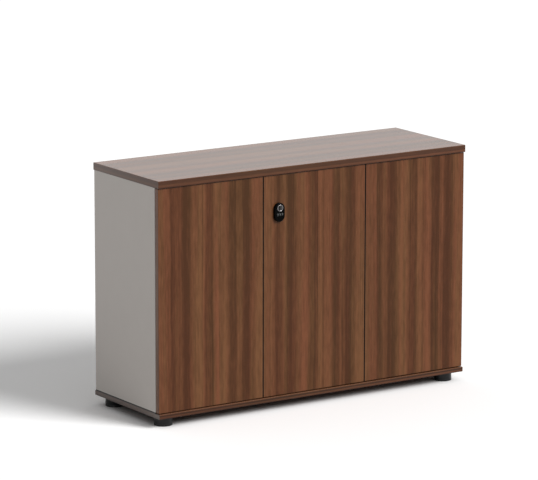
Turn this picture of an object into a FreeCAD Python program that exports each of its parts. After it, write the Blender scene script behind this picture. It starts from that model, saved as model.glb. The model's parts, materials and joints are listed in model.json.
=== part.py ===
import FreeCAD, Part

import os
from math import cos, radians, sin

# Office credenza: a melamine carcase with a double-door bay on the left, a single-door bay on
# the right, three overlay doors on concealed hinges, a combination lock and levelling feet.
#
# Working coordinates, in millimetres: X runs from the left upright's outer face, Y from the
# doors' front faces towards the back, Z up from the floor. save() moves every solid so that
# the origin is the middle of the footprint, on the floor.

Vector = FreeCAD.Vector

# ---- boards -------------------------------------------------------------------------------
WIDTH = 1200.0              # over the uprights' outer faces
BOARD_DEPTH = 400.0         # top and base, front edge to back edge
UPRIGHT_HEIGHT = 734.0      # base to top
TOP_T = 24.0
BASE_T = 16.0
UPRIGHT_T = 16.0
DOOR_T = 16.0
SHELF_T = 18.0
BACK_T = 8.0
BAND_T = 1.0                # edge band
FRONT_OVERHANG = 6.0        # top and base stand this far ahead of the doors
BACK_OVERHANG = 6.0         # and this far behind the uprights
BACK_INSET = 12.0           # back panel's rear face to the uprights' back edges
GROOVE_DEPTH = 6.0
GROOVE_PLAY = 0.2           # each side of the back panel in its groove
SHELF_SIDE_PLAY = 1.0
SHELF_SETBACK = 22.0        # shelf's front edge behind the uprights' front edges
SHELF_BACK_PLAY = 4.0

# ---- doors --------------------------------------------------------------------------------
DOOR_COUNT = 3
DOOR_GAP = 3.0              # between doors
DOOR_END_GAP = 2.0          # above and below them
DOOR_STANDOFF = 2.0         # door's back to the uprights' front edges

# ---- fittings that join the carcase ---------------------------------------------------------
CAM_R = 7.5
CAM_DEPTH = 12.5
CAM_FROM_END = 34.0
CAM_PLAY = 0.1
BOLT_R = 3.0
BOLT_HOLE_PLAY = 0.5        # in the upright
BOLT_BITE = 11.0            # into the top or base
BOLT_BITE_PLAY = 0.05
CAM_FROM_FRONT = 64.0
CAM_FROM_BACK = 54.0
DOWEL_R = 4.0
DOWEL_PLAY = 0.05
DOWEL_BITE = 10.0           # into the top or base
DOWEL_IN_UPRIGHT = 20.0
DOWEL_FROM_CAM = 32.0
PIN_R = 2.5
PIN_PLAY = 0.05
PIN_IN_BOARD = 7.0
PIN_OUT = 8.0
PIN_FROM_EDGE = 37.0        # pin columns, from the shelf side's front and back
PIN_PITCH = 32.0
PIN_ROWS = 2                # spare rows above and below the shelf

# ---- concealed hinges ----------------------------------------------------------------------
HINGE_FROM_END = 100.0      # hinge centre to the door's top or bottom edge
CUP_R = 17.5
CUP_DEPTH = 12.0
CUP_EDGE = 3.5              # cup bore to the door's hinge edge
CUP_WALL = 0.8
CUP_PLAY = 0.1
WING_T = 1.0
WING_HALF_WIDTH = 5.5
WING_REACH = 27.0
WING_SCREW = 22.0
LUG_FROM_EDGE = 6.2         # cup's lugs either side of the link, from the door's hinge edge
LUG_LENGTH = 6.4
LUG_T = 2.0
LUG_BELOW_RIM = 0.8
PIVOT_FROM_EDGE = 30.2      # link's pivot on the arm, from the door's hinge edge
PIVOT_IN_CUP = 0.2          # and in front of the door's back
LINK_LENGTH = 21.0
LINK_ANGLE = -173.9         # from the direction away from the hinge edge, door shut
LINK_T = 2.0
LINK_HALF_WIDTH = 4.0
LINK_EYE_R = 2.4
LINK_PIN_R = 1.2
RUNNING_FIT = 0.05          # radial, pin in a turning eye
CHEEK_T = 1.5
CHEEK_PLAY = 0.3
ARM_NOSE_R = 2.6
ARM_SEAT_FRONT = 18.0       # arm's and plate's seat, behind the uprights' front edges
ARM_SEAT_LENGTH = 40.0
PLATE_H = 5.0
PLATE_HALF_WIDTH = 7.0
PLATE_WING_T = 2.0
PLATE_WING_HALF_LENGTH = 6.0
PLATE_WING_REACH = 22.0
PLATE_SCREW = 16.0

# ---- screws --------------------------------------------------------------------------------
SCREW_R = 1.75
SCREW_HEAD_R = 3.4
SCREW_HEAD_H = 1.2
SCREW_LENGTH = 11.0
SCREW_PLAY = 0.05
HOLE_OVERRUN = 1.0          # a screw's hole is cut this far past the surface it opens
PLATE_SCREW_R = 2.5
PLATE_SCREW_HEAD_R = 4.0

# ---- combination lock on the middle door ----------------------------------------------------
LOCK_WIDTH = 38.5
LOCK_HEIGHT = 62.0
LOCK_T = 10.0
LOCK_ROUND = 2.5
LOCK_FROM_EDGE = 56.5       # lock's centre to the door's free edge
LOCK_BELOW_TOP = 124.0      # lock's centre below the top board
KNOB_UP = 15.0              # knob's axis above the lock's centre
KNOB_R = 8.6
KNOB_PROUD = 4.0
KNOB_RECESS = 1.5
KNOB_GRIP_T = 3.6
RING_R = 11.0
RING_PROUD = 2.0
RING_PLAY = 0.1
BARREL_R = 9.4
BARREL_PLAY = 0.1
BARREL_BEHIND = 5.5         # barrel's end behind the door
NUT_R = 13.5
NUT_T = 4.0
SPINDLE_R = 4.0
CAM_ARM_T = 2.0
CAM_ARM_WIDTH = 12.0
CAM_ARM_GAP = 0.3           # lock cam to the barrel's end
CAM_ARM_OVERLAP = 12.0      # cam's reach past the left door's edge
CAM_NUT_R = 5.5
CAM_NUT_T = 3.0
STRIKE_CLEARANCE = 0.6      # lock cam to the strike it slides behind
STRIKE_WIDTH = 16.0
STRIKE_HEIGHT = 44.0
STRIKE_EDGE = 3.0           # strike to the left door's free edge
STRIKE_SCREW_SEAT = 2.0     # its screw heads are sunk to this height above the door's back
WHEEL_COUNT = 3
WHEEL_R = 5.5
WHEEL_WIDTH = 7.8
WHEEL_GAP = 0.5
WHEEL_DOWN = 7.0            # wheels' axis below the lock's centre
WHEEL_PROUD = 1.7
WHEEL_PLAY = 0.3
WHEEL_BEVEL = 0.5
AXLE_R = 1.0
AXLE_BITE = 3.0

# ---- bolt on the left door ------------------------------------------------------------------
BOLT_CASE_WIDTH = 22.0
BOLT_CASE_T = 13.0
BOLT_CASE_HEIGHT = 44.0
CASE_ROUND = 1.5            # rounded rim of the bolt's and the latch's cases
CASE_MARGIN = 0.6           # and the material left outside their screw heads
BOLT_FROM_STRIKE = 4.0      # bolt's case to the column that the lock's strike stands in
BOLT_CASE_BELOW_TOP = 16.0
BOLT_ROD_R = 3.0
BOLT_ROD_PLAY = 0.1
BOLT_TRAVEL = 12.0
BOLT_THUMB = 5.0
BOLT_BELOW_EDGE = 3.0       # drawn bolt's tip below the door's top edge
KEEPER_T = 1.5
KEEPER_PLAY = 0.6
KEEPER_HALF = 10.0

# ---- push latch of the right door -----------------------------------------------------------
LATCH_WIDTH = 22.0
LATCH_HEIGHT = 16.0
LATCH_END_WALL = 4.0
LATCH_FROM_PARTITION = 6.0
LATCH_SETBACK = 4.0         # case's nose behind the uprights' front edges
PLUNGER_R = 3.5
PLUNGER_LENGTH = 40.0
PLUNGER_TRAVEL = 3.0
PLUNGER_FIT = 0.08
PLUNGER_GAP = 0.3           # plunger's tip to the strike, door shut
SPRING_R = 2.6
SPRING_WIRE_R = 0.4
SPRING_COILS = 5
SPRING_SHUT = 17.7          # room left for the spring with the plunger pressed in
LATCH_STRIKE_R = 7.0
LATCH_STRIKE_T = 1.0

# ---- feet ----------------------------------------------------------------------------------
FOOT_HEIGHT = 32.0          # floor to the base board
FOOT_R = 30.0
FOOT_GAP = 3.0              # foot's disc to the base board
FOOT_ROUND = 4.0
FOOT_TOP_BEVEL = 1.0
FOOT_INSET = 46.0           # foot's centre to the uprights' faces and the doors' fronts
STEM_R = 5.0
STEM_BITE = 13.0            # stem's reach into the base
STEM_ROOT = 1.0             # and into the foot's disc
INSERT_R = 8.0
INSERT_LENGTH = 14.0
INSERT_FLANGE_R = 12.0
INSERT_FLANGE_T = 1.5

# ---- planes and lines worked out from the sizes ----------------------------------------------
DOOR_PITCH = WIDTH / DOOR_COUNT
DOOR_WIDTH = DOOR_PITCH - DOOR_GAP
Y_BOARD_FRONT = -FRONT_OVERHANG
Y_BOARD_BACK = BOARD_DEPTH - FRONT_OVERHANG
Y_FRONT = DOOR_T + DOOR_STANDOFF
Y_BACK = Y_BOARD_BACK - BACK_OVERHANG
Y_PANEL_BACK = Y_BACK - BACK_INSET
Y_PANEL_FRONT = Y_PANEL_BACK - BACK_T
Z_BASE = FOOT_HEIGHT
Z_LOW = Z_BASE + BASE_T
Z_HIGH = Z_LOW + UPRIGHT_HEIGHT
Z_TOP = Z_HIGH + TOP_T
Z_DOOR_LOW = Z_LOW + DOOR_END_GAP
Z_DOOR_HIGH = Z_HIGH - DOOR_END_GAP
X_PARTITION = 2 * DOOR_PITCH - UPRIGHT_T / 2
UPRIGHTS_X = [0.0, X_PARTITION, WIDTH - UPRIGHT_T]
BAYS = [(UPRIGHT_T, X_PARTITION), (X_PARTITION + UPRIGHT_T, WIDTH - UPRIGHT_T)]
Z_SHELF = (Z_LOW + Z_HIGH - SHELF_T) / 2
LOCK_PROUD = LOCK_T + KNOB_PROUD
Y_FOREMOST = min(Y_BOARD_FRONT, -LOCK_PROUD)
TO_ORIGIN = Vector(-WIDTH / 2, -(Y_BOARD_BACK + Y_FOREMOST) / 2, 0)

ALONG_X = Vector(1, 0, 0)
ALONG_Y = Vector(0, 1, 0)
ALONG_Z = Vector(0, 0, 1)


# ---- helpers -------------------------------------------------------------------------------
def box(x, y, z):
    """A box from its (low, high) pairs along X, Y and Z."""
    return Part.makeBox(x[1] - x[0], y[1] - y[0], z[1] - z[0], Vector(x[0], y[0], z[0]))


def rod(radius, length, start, axis):
    """A cylinder that runs from start along axis."""
    return Part.makeCylinder(radius, length, start, axis)


def cut_all(solid, tools):
    """The solid less every tool."""
    return solid.cut(tools) if tools else solid


def moved(shape, offset):
    """A copy of the shape, moved by the offset."""
    copy = shape.copy()
    copy.translate(offset)
    return copy


def save(name, solids):
    """Write one node, moved to the origin in the middle of the footprint."""
    shape = solids[0] if len(solids) == 1 else Part.makeCompound(solids)
    moved(shape, TO_ORIGIN).exportStep("parts/" + name + ".step")


def banded(x, y, z, through, flush):
    """A board's core and its four edge bands.

    through and flush name the two axes that the board spans: the bands on the through axis's
    ends stop between those on the flush axis's ends, which run the board's full length.
    """
    spans = {"x": x, "y": y, "z": z}
    core = dict(spans)
    for axis in (through, flush):
        core[axis] = (spans[axis][0] + BAND_T, spans[axis][1] - BAND_T)
    bands = []
    for axis, other in ((flush, None), (through, flush)):
        for low in (spans[axis][0], spans[axis][1] - BAND_T):
            strip = dict(spans)
            strip[axis] = (low, low + BAND_T)
            if other:
                strip[other] = core[other]
            bands.append(box(strip["x"], strip["y"], strip["z"]))
    return box(core["x"], core["y"], core["z"]), bands


def edges_in_plane(solid, axis, value):
    """The edges that lie in the plane where the axis, x, y or z, has the value."""
    spans = {"x": ("XMin", "XMax"), "y": ("YMin", "YMax"), "z": ("ZMin", "ZMax")}
    low, high = spans[axis]
    near = 0.01
    return [edge for edge in solid.Edges
            if getattr(edge.BoundBox, low) > value - near and getattr(edge.BoundBox, high) < value + near]


def screw(radius, head_radius, length, start, axis):
    """A pan-head screw: start is on the surface it holds, axis points out of the board."""
    shank = rod(radius, length, start - axis * length, axis)
    return shank.fuse(rod(head_radius, SCREW_HEAD_H, start, axis))


def screw_hole(radius, length, start, axis):
    """The hole that the shank of screw() needs, through what it holds and into the board."""
    reach = length + SCREW_PLAY
    return rod(radius + SCREW_PLAY, reach + HOLE_OVERRUN, start - axis * reach, axis)


# ---- carcase -------------------------------------------------------------------------------
def fitting_rows():
    """Y of the cam fittings and of the dowels beside them."""
    front = Y_FRONT + CAM_FROM_FRONT
    back = Y_BACK - CAM_FROM_BACK
    return [front, back], [front + DOWEL_FROM_CAM, back - DOWEL_FROM_CAM]


def cam_face(index):
    """The upright's face that its cams are let into, and the way out of it."""
    x = UPRIGHTS_X[index]
    return (x + UPRIGHT_T, 1) if index == 0 else (x, -1)


def cam_fittings():
    """Cams, bolts and dowels, with the holes that they need in uprights, top and base."""
    cams, bolts, dowels, upright_holes, board_holes = [], [], [], [[], [], []], []
    cam_rows, dowel_rows = fitting_rows()
    for index, x in enumerate(UPRIGHTS_X):
        middle = x + UPRIGHT_T / 2
        face, out = cam_face(index)
        for end, up in ((Z_LOW, -1), (Z_HIGH, 1)):
            z_cam = end - up * CAM_FROM_END
            for y in cam_rows:
                inward = Vector(-out, 0, 0)
                centre = Vector(face, y, z_cam)
                bore = rod(CAM_R, CAM_DEPTH, centre, inward)
                cam = rod(CAM_R - CAM_PLAY, CAM_DEPTH - CAM_PLAY, centre, inward)
                slot_half = BOLT_R + BOLT_HOLE_PLAY
                slot_z = sorted((z_cam, z_cam + up * CAM_R))
                slot = box((x, x + UPRIGHT_T), (y - slot_half, y + slot_half), slot_z)
                cams.append(cam.cut(slot))
                start = Vector(middle, y, z_cam + up * BOLT_HOLE_PLAY)
                along = Vector(0, 0, up)
                length = CAM_FROM_END - BOLT_HOLE_PLAY + BOLT_BITE
                bolts.append(rod(BOLT_R, length, start, along))
                upright_holes[index].append(bore)
                upright_holes[index].append(rod(BOLT_R + BOLT_HOLE_PLAY, CAM_FROM_END, start, along))
                bite = rod(BOLT_R + BOLT_BITE_PLAY, BOLT_BITE, Vector(middle, y, end), along)
                board_holes.append(bite)
            for y in dowel_rows:
                start = Vector(middle, y, end - up * DOWEL_IN_UPRIGHT)
                length = DOWEL_IN_UPRIGHT + DOWEL_BITE
                along = Vector(0, 0, up)
                dowels.append(rod(DOWEL_R, length, start, along))
                hole = rod(DOWEL_R + DOWEL_PLAY, length + 2 * DOWEL_PLAY, start - along * DOWEL_PLAY, along)
                upright_holes[index].append(hole)
                board_holes.append(hole)
    return cams, bolts, dowels, upright_holes, board_holes


def pin_columns():
    """Y of the two columns of shelf-pin holes."""
    front = Y_FRONT + PIN_FROM_EDGE
    return [front, Y_PANEL_FRONT - PIN_FROM_EDGE]


def shelf_pins():
    """The pins under both shelves, and the rows of holes in each upright."""
    pins, holes = [], [[], [], []]
    for bay, (left, right) in enumerate(BAYS):
        for index, face, out in ((bay, left, 1), (bay + 1, right, -1)):
            for y in pin_columns():
                z_pin = Z_SHELF - PIN_R
                start = Vector(face - out * PIN_IN_BOARD, y, z_pin)
                pins.append(rod(PIN_R, PIN_IN_BOARD + PIN_OUT, start, Vector(out, 0, 0)))
                for row in range(-PIN_ROWS, PIN_ROWS + 1):
                    z = z_pin + row * PIN_PITCH
                    depth = PIN_IN_BOARD + PIN_PLAY
                    mouth = Vector(face - out * depth, y, z)
                    holes[index].append(rod(PIN_R + PIN_PLAY, depth, mouth, Vector(out, 0, 0)))
    return pins, holes


def back_panels():
    """The two back panels, and the groove that each needs all round."""
    panels, grooves = [], []
    for left, right in BAYS:
        reach = GROOVE_DEPTH - GROOVE_PLAY
        x = (left - reach, right + reach)
        z = (Z_LOW - reach, Z_HIGH + reach)
        panels.append(box(x, (Y_PANEL_FRONT, Y_PANEL_BACK), z))
        y_groove = (Y_PANEL_FRONT - GROOVE_PLAY, Y_PANEL_BACK + GROOVE_PLAY)
        deep = (left - GROOVE_DEPTH, right + GROOVE_DEPTH)
        grooves.append(box(deep, y_groove, (Z_LOW - GROOVE_DEPTH, Z_HIGH + GROOVE_DEPTH)))
    return panels, grooves


def shelves():
    """Each bay's shelf and the band on its front edge."""
    boards, bands = [], []
    y = (Y_FRONT + SHELF_SETBACK, Y_PANEL_FRONT - SHELF_BACK_PLAY)
    z = (Z_SHELF, Z_SHELF + SHELF_T)
    for left, right in BAYS:
        x = (left + SHELF_SIDE_PLAY, right - SHELF_SIDE_PLAY)
        boards.append(box(x, (y[0] + BAND_T, y[1]), z))
        bands.append(box(x, (y[0], y[0] + BAND_T), z))
    return boards, bands


# ---- concealed hinges ----------------------------------------------------------------------
# Each hinge is drawn with U along X away from the door's hinge edge, V along Y behind the
# door's back and W along Z from the hinge's centre, then turned to its own side and moved.
CUP_CENTRE = CUP_EDGE + CUP_R
PIVOT = Vector(PIVOT_FROM_EDGE, -PIVOT_IN_CUP, 0)


def hinge_cup():
    """A pressed cup with a wing above and below, flush with the door's back."""
    centre = Vector(CUP_CENTRE, 0, 0)
    body = rod(CUP_R - CUP_PLAY, CUP_DEPTH, centre - ALONG_Y * CUP_DEPTH, ALONG_Y)
    wings = box((CUP_CENTRE - WING_HALF_WIDTH, CUP_CENTRE + WING_HALF_WIDTH), (0, WING_T),
                (-WING_REACH, WING_REACH))
    hollow_start = centre - ALONG_Y * (CUP_DEPTH - CUP_WALL)
    hollow = rod(CUP_R - CUP_PLAY - CUP_WALL, CUP_DEPTH + WING_T, hollow_start, ALONG_Y)
    shell = cut_all(body.fuse(wings), [hollow] + cup_screw_holes())
    return shell.fuse(cup_lugs())


def cup_lugs():
    """Two lugs that rise from the cup's floor, one at each side of the link's free end."""
    inner = LINK_HALF_WIDTH + CHEEK_PLAY
    u = (LUG_FROM_EDGE, LUG_FROM_EDGE + LUG_LENGTH)
    v = (-CUP_DEPTH, -LUG_BELOW_RIM)
    return [box(u, v, (-inner - LUG_T, -inner)), box(u, v, (inner, inner + LUG_T))]


def cup_bore():
    """The blind bore for the cup in the door."""
    centre = Vector(CUP_CENTRE, 0, 0)
    depth = CUP_DEPTH + CUP_PLAY
    return rod(CUP_R, depth, centre - ALONG_Y * depth, ALONG_Y)


def cup_screw_points():
    """Where the cup's two screws meet its wings."""
    return [Vector(CUP_CENTRE, WING_T, w) for w in (-WING_SCREW, WING_SCREW)]


def cup_screw_holes():
    return [screw_hole(SCREW_R, SCREW_LENGTH, point, ALONG_Y) for point in cup_screw_points()]


def cup_screws():
    return [screw(SCREW_R, SCREW_HEAD_R, SCREW_LENGTH, point, ALONG_Y) for point in cup_screw_points()]


def hinge_link():
    """The pressed link, from its eye on the arm's pin to its free end in the cup."""
    along = Vector(cos(radians(LINK_ANGLE)), sin(radians(LINK_ANGLE)), 0)
    across = Vector(-along.y, along.x, 0)
    low = ALONG_Z * -LINK_HALF_WIDTH
    half = LINK_T / 2
    end = PIVOT + along * LINK_LENGTH
    corners = [PIVOT + across * half, end + across * half, end - across * half, PIVOT - across * half]
    outline = Part.makePolygon([corner + low for corner in corners + corners[:1]])
    strap = Part.Face(outline).extrude(ALONG_Z * 2 * LINK_HALF_WIDTH)
    eye = rod(LINK_EYE_R, 2 * LINK_HALF_WIDTH, PIVOT + low, ALONG_Z)
    tip = rod(half, 2 * LINK_HALF_WIDTH, end + low, ALONG_Z)
    hole = rod(LINK_PIN_R + RUNNING_FIT, 2 * LINK_HALF_WIDTH, PIVOT + low, ALONG_Z)
    return strap.fuse([eye, tip]).cut(hole)


def link_pin():
    """The pin through the arm's cheeks and the link's eye."""
    reach = LINK_HALF_WIDTH + CHEEK_PLAY + CHEEK_T
    return rod(LINK_PIN_R, 2 * reach, PIVOT - ALONG_Z * reach, ALONG_Z)


def arm_seat(face):
    """U of the arm's seat on the mounting plate, and the V span of that seat."""
    front = DOOR_STANDOFF + ARM_SEAT_FRONT
    return face + PLATE_H, (front, front + ARM_SEAT_LENGTH)


def hinge_arm(face):
    """A channel of two cheeks and a web, from the plate on the upright to the link's pin."""
    seat, span = arm_seat(face)
    inner = LINK_HALF_WIDTH + CHEEK_PLAY
    nose_low = PIVOT.x - ARM_NOSE_R
    nose_high = PIVOT.x + ARM_NOSE_R
    low_side = [(nose_low, PIVOT.y), (seat, span[0]), (seat, span[1])]
    profile = low_side + [(nose_high, span[1]), (nose_high, PIVOT.y)]
    parts = []
    for low in (-inner - CHEEK_T, inner):
        points = [Vector(u, v, low) for u, v in profile + profile[:1]]
        cheek = Part.Face(Part.makePolygon(points)).extrude(ALONG_Z * CHEEK_T)
        nose = rod(ARM_NOSE_R, CHEEK_T, Vector(PIVOT.x, PIVOT.y, low), ALONG_Z)
        parts.append(cheek.fuse(nose))
    web_start = PIVOT.y + LINK_EYE_R + ARM_NOSE_R
    web = box((nose_high - CHEEK_T, nose_high), (web_start, span[1]), (-inner, inner))
    arm = parts[0].fuse([parts[1], web])
    return arm.cut(link_pin())


def hinge_plate(face):
    """The mounting plate on the upright: a raised rib for the arm, and two screw wings."""
    seat, span = arm_seat(face)
    rib = box((face, seat), span, (-PLATE_HALF_WIDTH, PLATE_HALF_WIDTH))
    middle = plate_screw_line()
    along = (middle - PLATE_WING_HALF_LENGTH, middle + PLATE_WING_HALF_LENGTH)
    wings = box((face, face + PLATE_WING_T), along, (-PLATE_WING_REACH, PLATE_WING_REACH))
    return cut_all(rib.fuse(wings), plate_screw_holes(face))


def plate_screw_line():
    """V of the plate's screws: the front column of pin holes in the uprights."""
    return DOOR_STANDOFF + PIN_FROM_EDGE


def plate_screw_points(face):
    return [Vector(face + PLATE_WING_T, plate_screw_line(), w) for w in (-PLATE_SCREW, PLATE_SCREW)]


def plate_screw_holes(face):
    return [screw_hole(PLATE_SCREW_R, SCREW_LENGTH, point, ALONG_X) for point in plate_screw_points(face)]


def plate_screws(face):
    points = plate_screw_points(face)
    return [screw(PLATE_SCREW_R, PLATE_SCREW_HEAD_R, SCREW_LENGTH, point, ALONG_X) for point in points]


# The doors from left to right: the X span, which side is hinged (1: left, -1: right) and the
# upright that carries the hinges.
def door_spans():
    spans = []
    for index in range(DOOR_COUNT):
        left = index * DOOR_PITCH + DOOR_GAP / 2
        spans.append((left, left + DOOR_WIDTH))
    return spans


DOOR_SPANS = door_spans()
HINGE_SIDES = [1, -1, -1]
CARRIERS = [0, 1, 2]
HINGE_HEIGHTS = [Z_DOOR_LOW + HINGE_FROM_END, Z_DOOR_HIGH - HINGE_FROM_END]


def hinge_edge(door):
    """X of a door's hinged edge."""
    return DOOR_SPANS[door][0] if HINGE_SIDES[door] == 1 else DOOR_SPANS[door][1]


def free_edge(door):
    """X of a door's free edge."""
    return DOOR_SPANS[door][1] if HINGE_SIDES[door] == 1 else DOOR_SPANS[door][0]


def carrier_face(door):
    """U of the face, on the upright, that a door's mounting plates sit on."""
    x = UPRIGHTS_X[CARRIERS[door]]
    face = x + UPRIGHT_T if HINGE_SIDES[door] == 1 else x
    return abs(face - hinge_edge(door))


def at_hinges(door, solids):
    """The hinge pieces, turned to the door's own side and repeated at both hinge heights."""
    placed = []
    for z in HINGE_HEIGHTS:
        for solid in solids:
            own = solid if HINGE_SIDES[door] == 1 else solid.mirror(Vector(0, 0, 0), ALONG_X)
            placed.append(moved(own, Vector(hinge_edge(door), DOOR_T, z)))
    return placed


# ---- doors ---------------------------------------------------------------------------------
def door_board(door, holes):
    """A door's panel, bored for what it carries, and its four edge bands."""
    x = DOOR_SPANS[door]
    core, bands = banded(x, (0, DOOR_T), (Z_DOOR_LOW, Z_DOOR_HIGH), "z", "x")
    return cut_all(core, at_hinges(door, [cup_bore()] + cup_screw_holes()) + holes), bands


# ---- combination lock ----------------------------------------------------------------------
X_LOCK = free_edge(1) + LOCK_FROM_EDGE
Z_LOCK = Z_HIGH - LOCK_BELOW_TOP
Z_KNOB = Z_LOCK + KNOB_UP
Z_WHEELS = Z_LOCK - WHEEL_DOWN
Y_WHEELS = -LOCK_T - WHEEL_PROUD + WHEEL_R
Y_BARREL_END = DOOR_T + BARREL_BEHIND
WHEELS_WIDTH = WHEEL_COUNT * WHEEL_WIDTH + (WHEEL_COUNT - 1) * WHEEL_GAP


def knob_axis(y):
    """The point of the knob's axis at a given Y."""
    return Vector(X_LOCK, y, Z_KNOB)


def capsule():
    """The housing's upright capsule, with its front rim rounded."""
    radius = LOCK_WIDTH / 2
    half = LOCK_HEIGHT / 2 - radius
    low = Vector(X_LOCK, 0, Z_LOCK - half)
    high = Vector(X_LOCK, 0, Z_LOCK + half)
    bottom = Part.Arc(low + ALONG_X * radius, low - ALONG_Z * radius, low - ALONG_X * radius)
    top = Part.Arc(high - ALONG_X * radius, high + ALONG_Z * radius, high + ALONG_X * radius)
    left = Part.LineSegment(low - ALONG_X * radius, high - ALONG_X * radius)
    right = Part.LineSegment(high + ALONG_X * radius, low + ALONG_X * radius)
    outline = Part.Wire([bottom.toShape(), left.toShape(), top.toShape(), right.toShape()])
    solid = Part.Face(outline).extrude(ALONG_Y * -LOCK_T)
    return solid.makeFillet(LOCK_ROUND, edges_in_plane(solid, "y", -LOCK_T))


def lock_housing():
    """The capsule and the barrel that passes through the door, open for spindle and wheels."""
    barrel = rod(BARREL_R, Y_BARREL_END, knob_axis(0), ALONG_Y)
    spindle_bore = rod(SPINDLE_R + RUNNING_FIT, LOCK_T + Y_BARREL_END, knob_axis(-LOCK_T), ALONG_Y)
    seat = rod(RING_R + RING_PLAY, KNOB_RECESS, knob_axis(-LOCK_T), ALONG_Y)
    half = WHEELS_WIDTH / 2 + WHEEL_PLAY
    wheel_well = rod(WHEEL_R + WHEEL_PLAY, 2 * half, Vector(X_LOCK - half, Y_WHEELS, Z_WHEELS), ALONG_X)
    return capsule().fuse(barrel).cut([spindle_bore, seat, wheel_well, wheel_axle()])


def wheel_axle():
    """The axle that carries the number wheels, let into the housing at both ends."""
    half = WHEELS_WIDTH / 2 + WHEEL_PLAY + AXLE_BITE
    return rod(AXLE_R, 2 * half, Vector(X_LOCK - half, Y_WHEELS, Z_WHEELS), ALONG_X)


def number_wheel(index):
    """One number wheel, bevelled at both rims and bored for the axle."""
    left = X_LOCK - WHEELS_WIDTH / 2 + index * (WHEEL_WIDTH + WHEEL_GAP)
    wheel = rod(WHEEL_R, WHEEL_WIDTH, Vector(left, Y_WHEELS, Z_WHEELS), ALONG_X)
    rims = edges_in_plane(wheel, "x", left) + edges_in_plane(wheel, "x", left + WHEEL_WIDTH)
    wheel = wheel.makeChamfer(WHEEL_BEVEL, rims)
    return wheel.cut(rod(AXLE_R + RUNNING_FIT, WHEEL_WIDTH, Vector(left, Y_WHEELS, Z_WHEELS), ALONG_X))


def lock_nut():
    """The round nut that pulls the barrel against the door's back."""
    nut = rod(NUT_R, NUT_T, knob_axis(DOOR_T), ALONG_Y)
    return nut.cut(rod(BARREL_R, NUT_T, knob_axis(DOOR_T), ALONG_Y))


Y_RING_BACK = -LOCK_T + KNOB_RECESS - RING_PLAY


def knob_ring():
    """The bright ring around the knob, turning with it in the housing's recess."""
    depth = Y_RING_BACK + LOCK_T + RING_PROUD
    ring = rod(RING_R, depth, knob_axis(Y_RING_BACK), -ALONG_Y)
    ring = ring.makeFillet(RING_PROUD / 2, edges_in_plane(ring, "y", -LOCK_T - RING_PROUD))
    return ring.cut(rod(KNOB_R, depth, knob_axis(Y_RING_BACK), -ALONG_Y))


def lock_knob():
    """The knob inside the ring: a sunk disc with a thumb grip across it."""
    disc_depth = Y_RING_BACK + LOCK_T + RING_PROUD / 2
    disc = rod(KNOB_R, disc_depth, knob_axis(Y_RING_BACK), -ALONG_Y)
    half = KNOB_GRIP_T / 2
    reach = KNOB_R - half
    grip = box((X_LOCK - half, X_LOCK + half), (-LOCK_PROUD, Y_RING_BACK), (Z_KNOB - reach, Z_KNOB + reach))
    grip = grip.makeFillet(half / 2, edges_in_plane(grip, "y", -LOCK_PROUD))
    return disc.fuse(grip)


def lock_spindle():
    """The spindle from the knob, through the barrel and the cam, to the cam's nut."""
    end = Y_BARREL_END + CAM_ARM_GAP + CAM_ARM_T + CAM_NUT_T
    return rod(SPINDLE_R, end - Y_RING_BACK, knob_axis(Y_RING_BACK), ALONG_Y)


def lock_cam():
    """The cam on the spindle, hanging straight down while the lock is open."""
    front = Y_BARREL_END + CAM_ARM_GAP
    reach = X_LOCK - DOOR_SPANS[0][1] + CAM_ARM_OVERLAP
    half = CAM_ARM_WIDTH / 2
    hub = rod(half, CAM_ARM_T, knob_axis(front), ALONG_Y)
    tip_centre = knob_axis(front) - ALONG_Z * (reach - half)
    tip = rod(half, CAM_ARM_T, tip_centre, ALONG_Y)
    arm = box((X_LOCK - half, X_LOCK + half), (front, front + CAM_ARM_T), (tip_centre.z, Z_KNOB))
    nut = rod(CAM_NUT_R, CAM_NUT_T, knob_axis(front + CAM_ARM_T), ALONG_Y)
    return arm.fuse([hub, tip, nut]).cut(rod(SPINDLE_R, CAM_ARM_T + CAM_NUT_T, knob_axis(front), ALONG_Y))


def lock_strike():
    """The block on the left door's back that the turned cam slides behind."""
    edge = DOOR_SPANS[0][1] - STRIKE_EDGE
    thickness = BARREL_BEHIND + CAM_ARM_GAP - STRIKE_CLEARANCE
    y = (DOOR_T, DOOR_T + thickness)
    block = box((edge - STRIKE_WIDTH, edge), y, (Z_KNOB - STRIKE_HEIGHT / 2, Z_KNOB + STRIKE_HEIGHT / 2))
    lead = [edge for edge in edges_in_plane(block, "y", y[1]) if edge.BoundBox.XLength > STRIKE_EDGE]
    return cut_all(block.makeChamfer(thickness / 2, lead), strike_screw_holes())


def strike_screw_points():
    x = DOOR_SPANS[0][1] - STRIKE_EDGE - STRIKE_WIDTH / 2
    wide = STRIKE_HEIGHT / 2 - 2 * SCREW_HEAD_R
    return [Vector(x, DOOR_T + STRIKE_SCREW_SEAT, Z_KNOB + dz) for dz in (-wide, wide)]


def strike_screw_holes():
    """Shank holes through the block, with a counterbore for each head."""
    tools = []
    for point in strike_screw_points():
        tools.append(screw_hole(SCREW_R, SCREW_LENGTH, point, ALONG_Y))
        tools.append(rod(SCREW_HEAD_R + SCREW_PLAY, BARREL_BEHIND, point, ALONG_Y))
    return tools


# ---- bolt on the left door ------------------------------------------------------------------
X_BOLT = DOOR_SPANS[0][1] - STRIKE_EDGE - STRIKE_WIDTH - BOLT_FROM_STRIKE - BOLT_CASE_WIDTH / 2
Y_BOLT = DOOR_T + BOLT_CASE_T / 2
Z_CASE_HIGH = Z_DOOR_HIGH - BOLT_CASE_BELOW_TOP
Z_CASE_LOW = Z_CASE_HIGH - BOLT_CASE_HEIGHT
Z_BOLT_TIP = Z_DOOR_HIGH - BOLT_BELOW_EDGE
Z_BOLT_TAIL = Z_CASE_LOW + BOLT_THUMB


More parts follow.
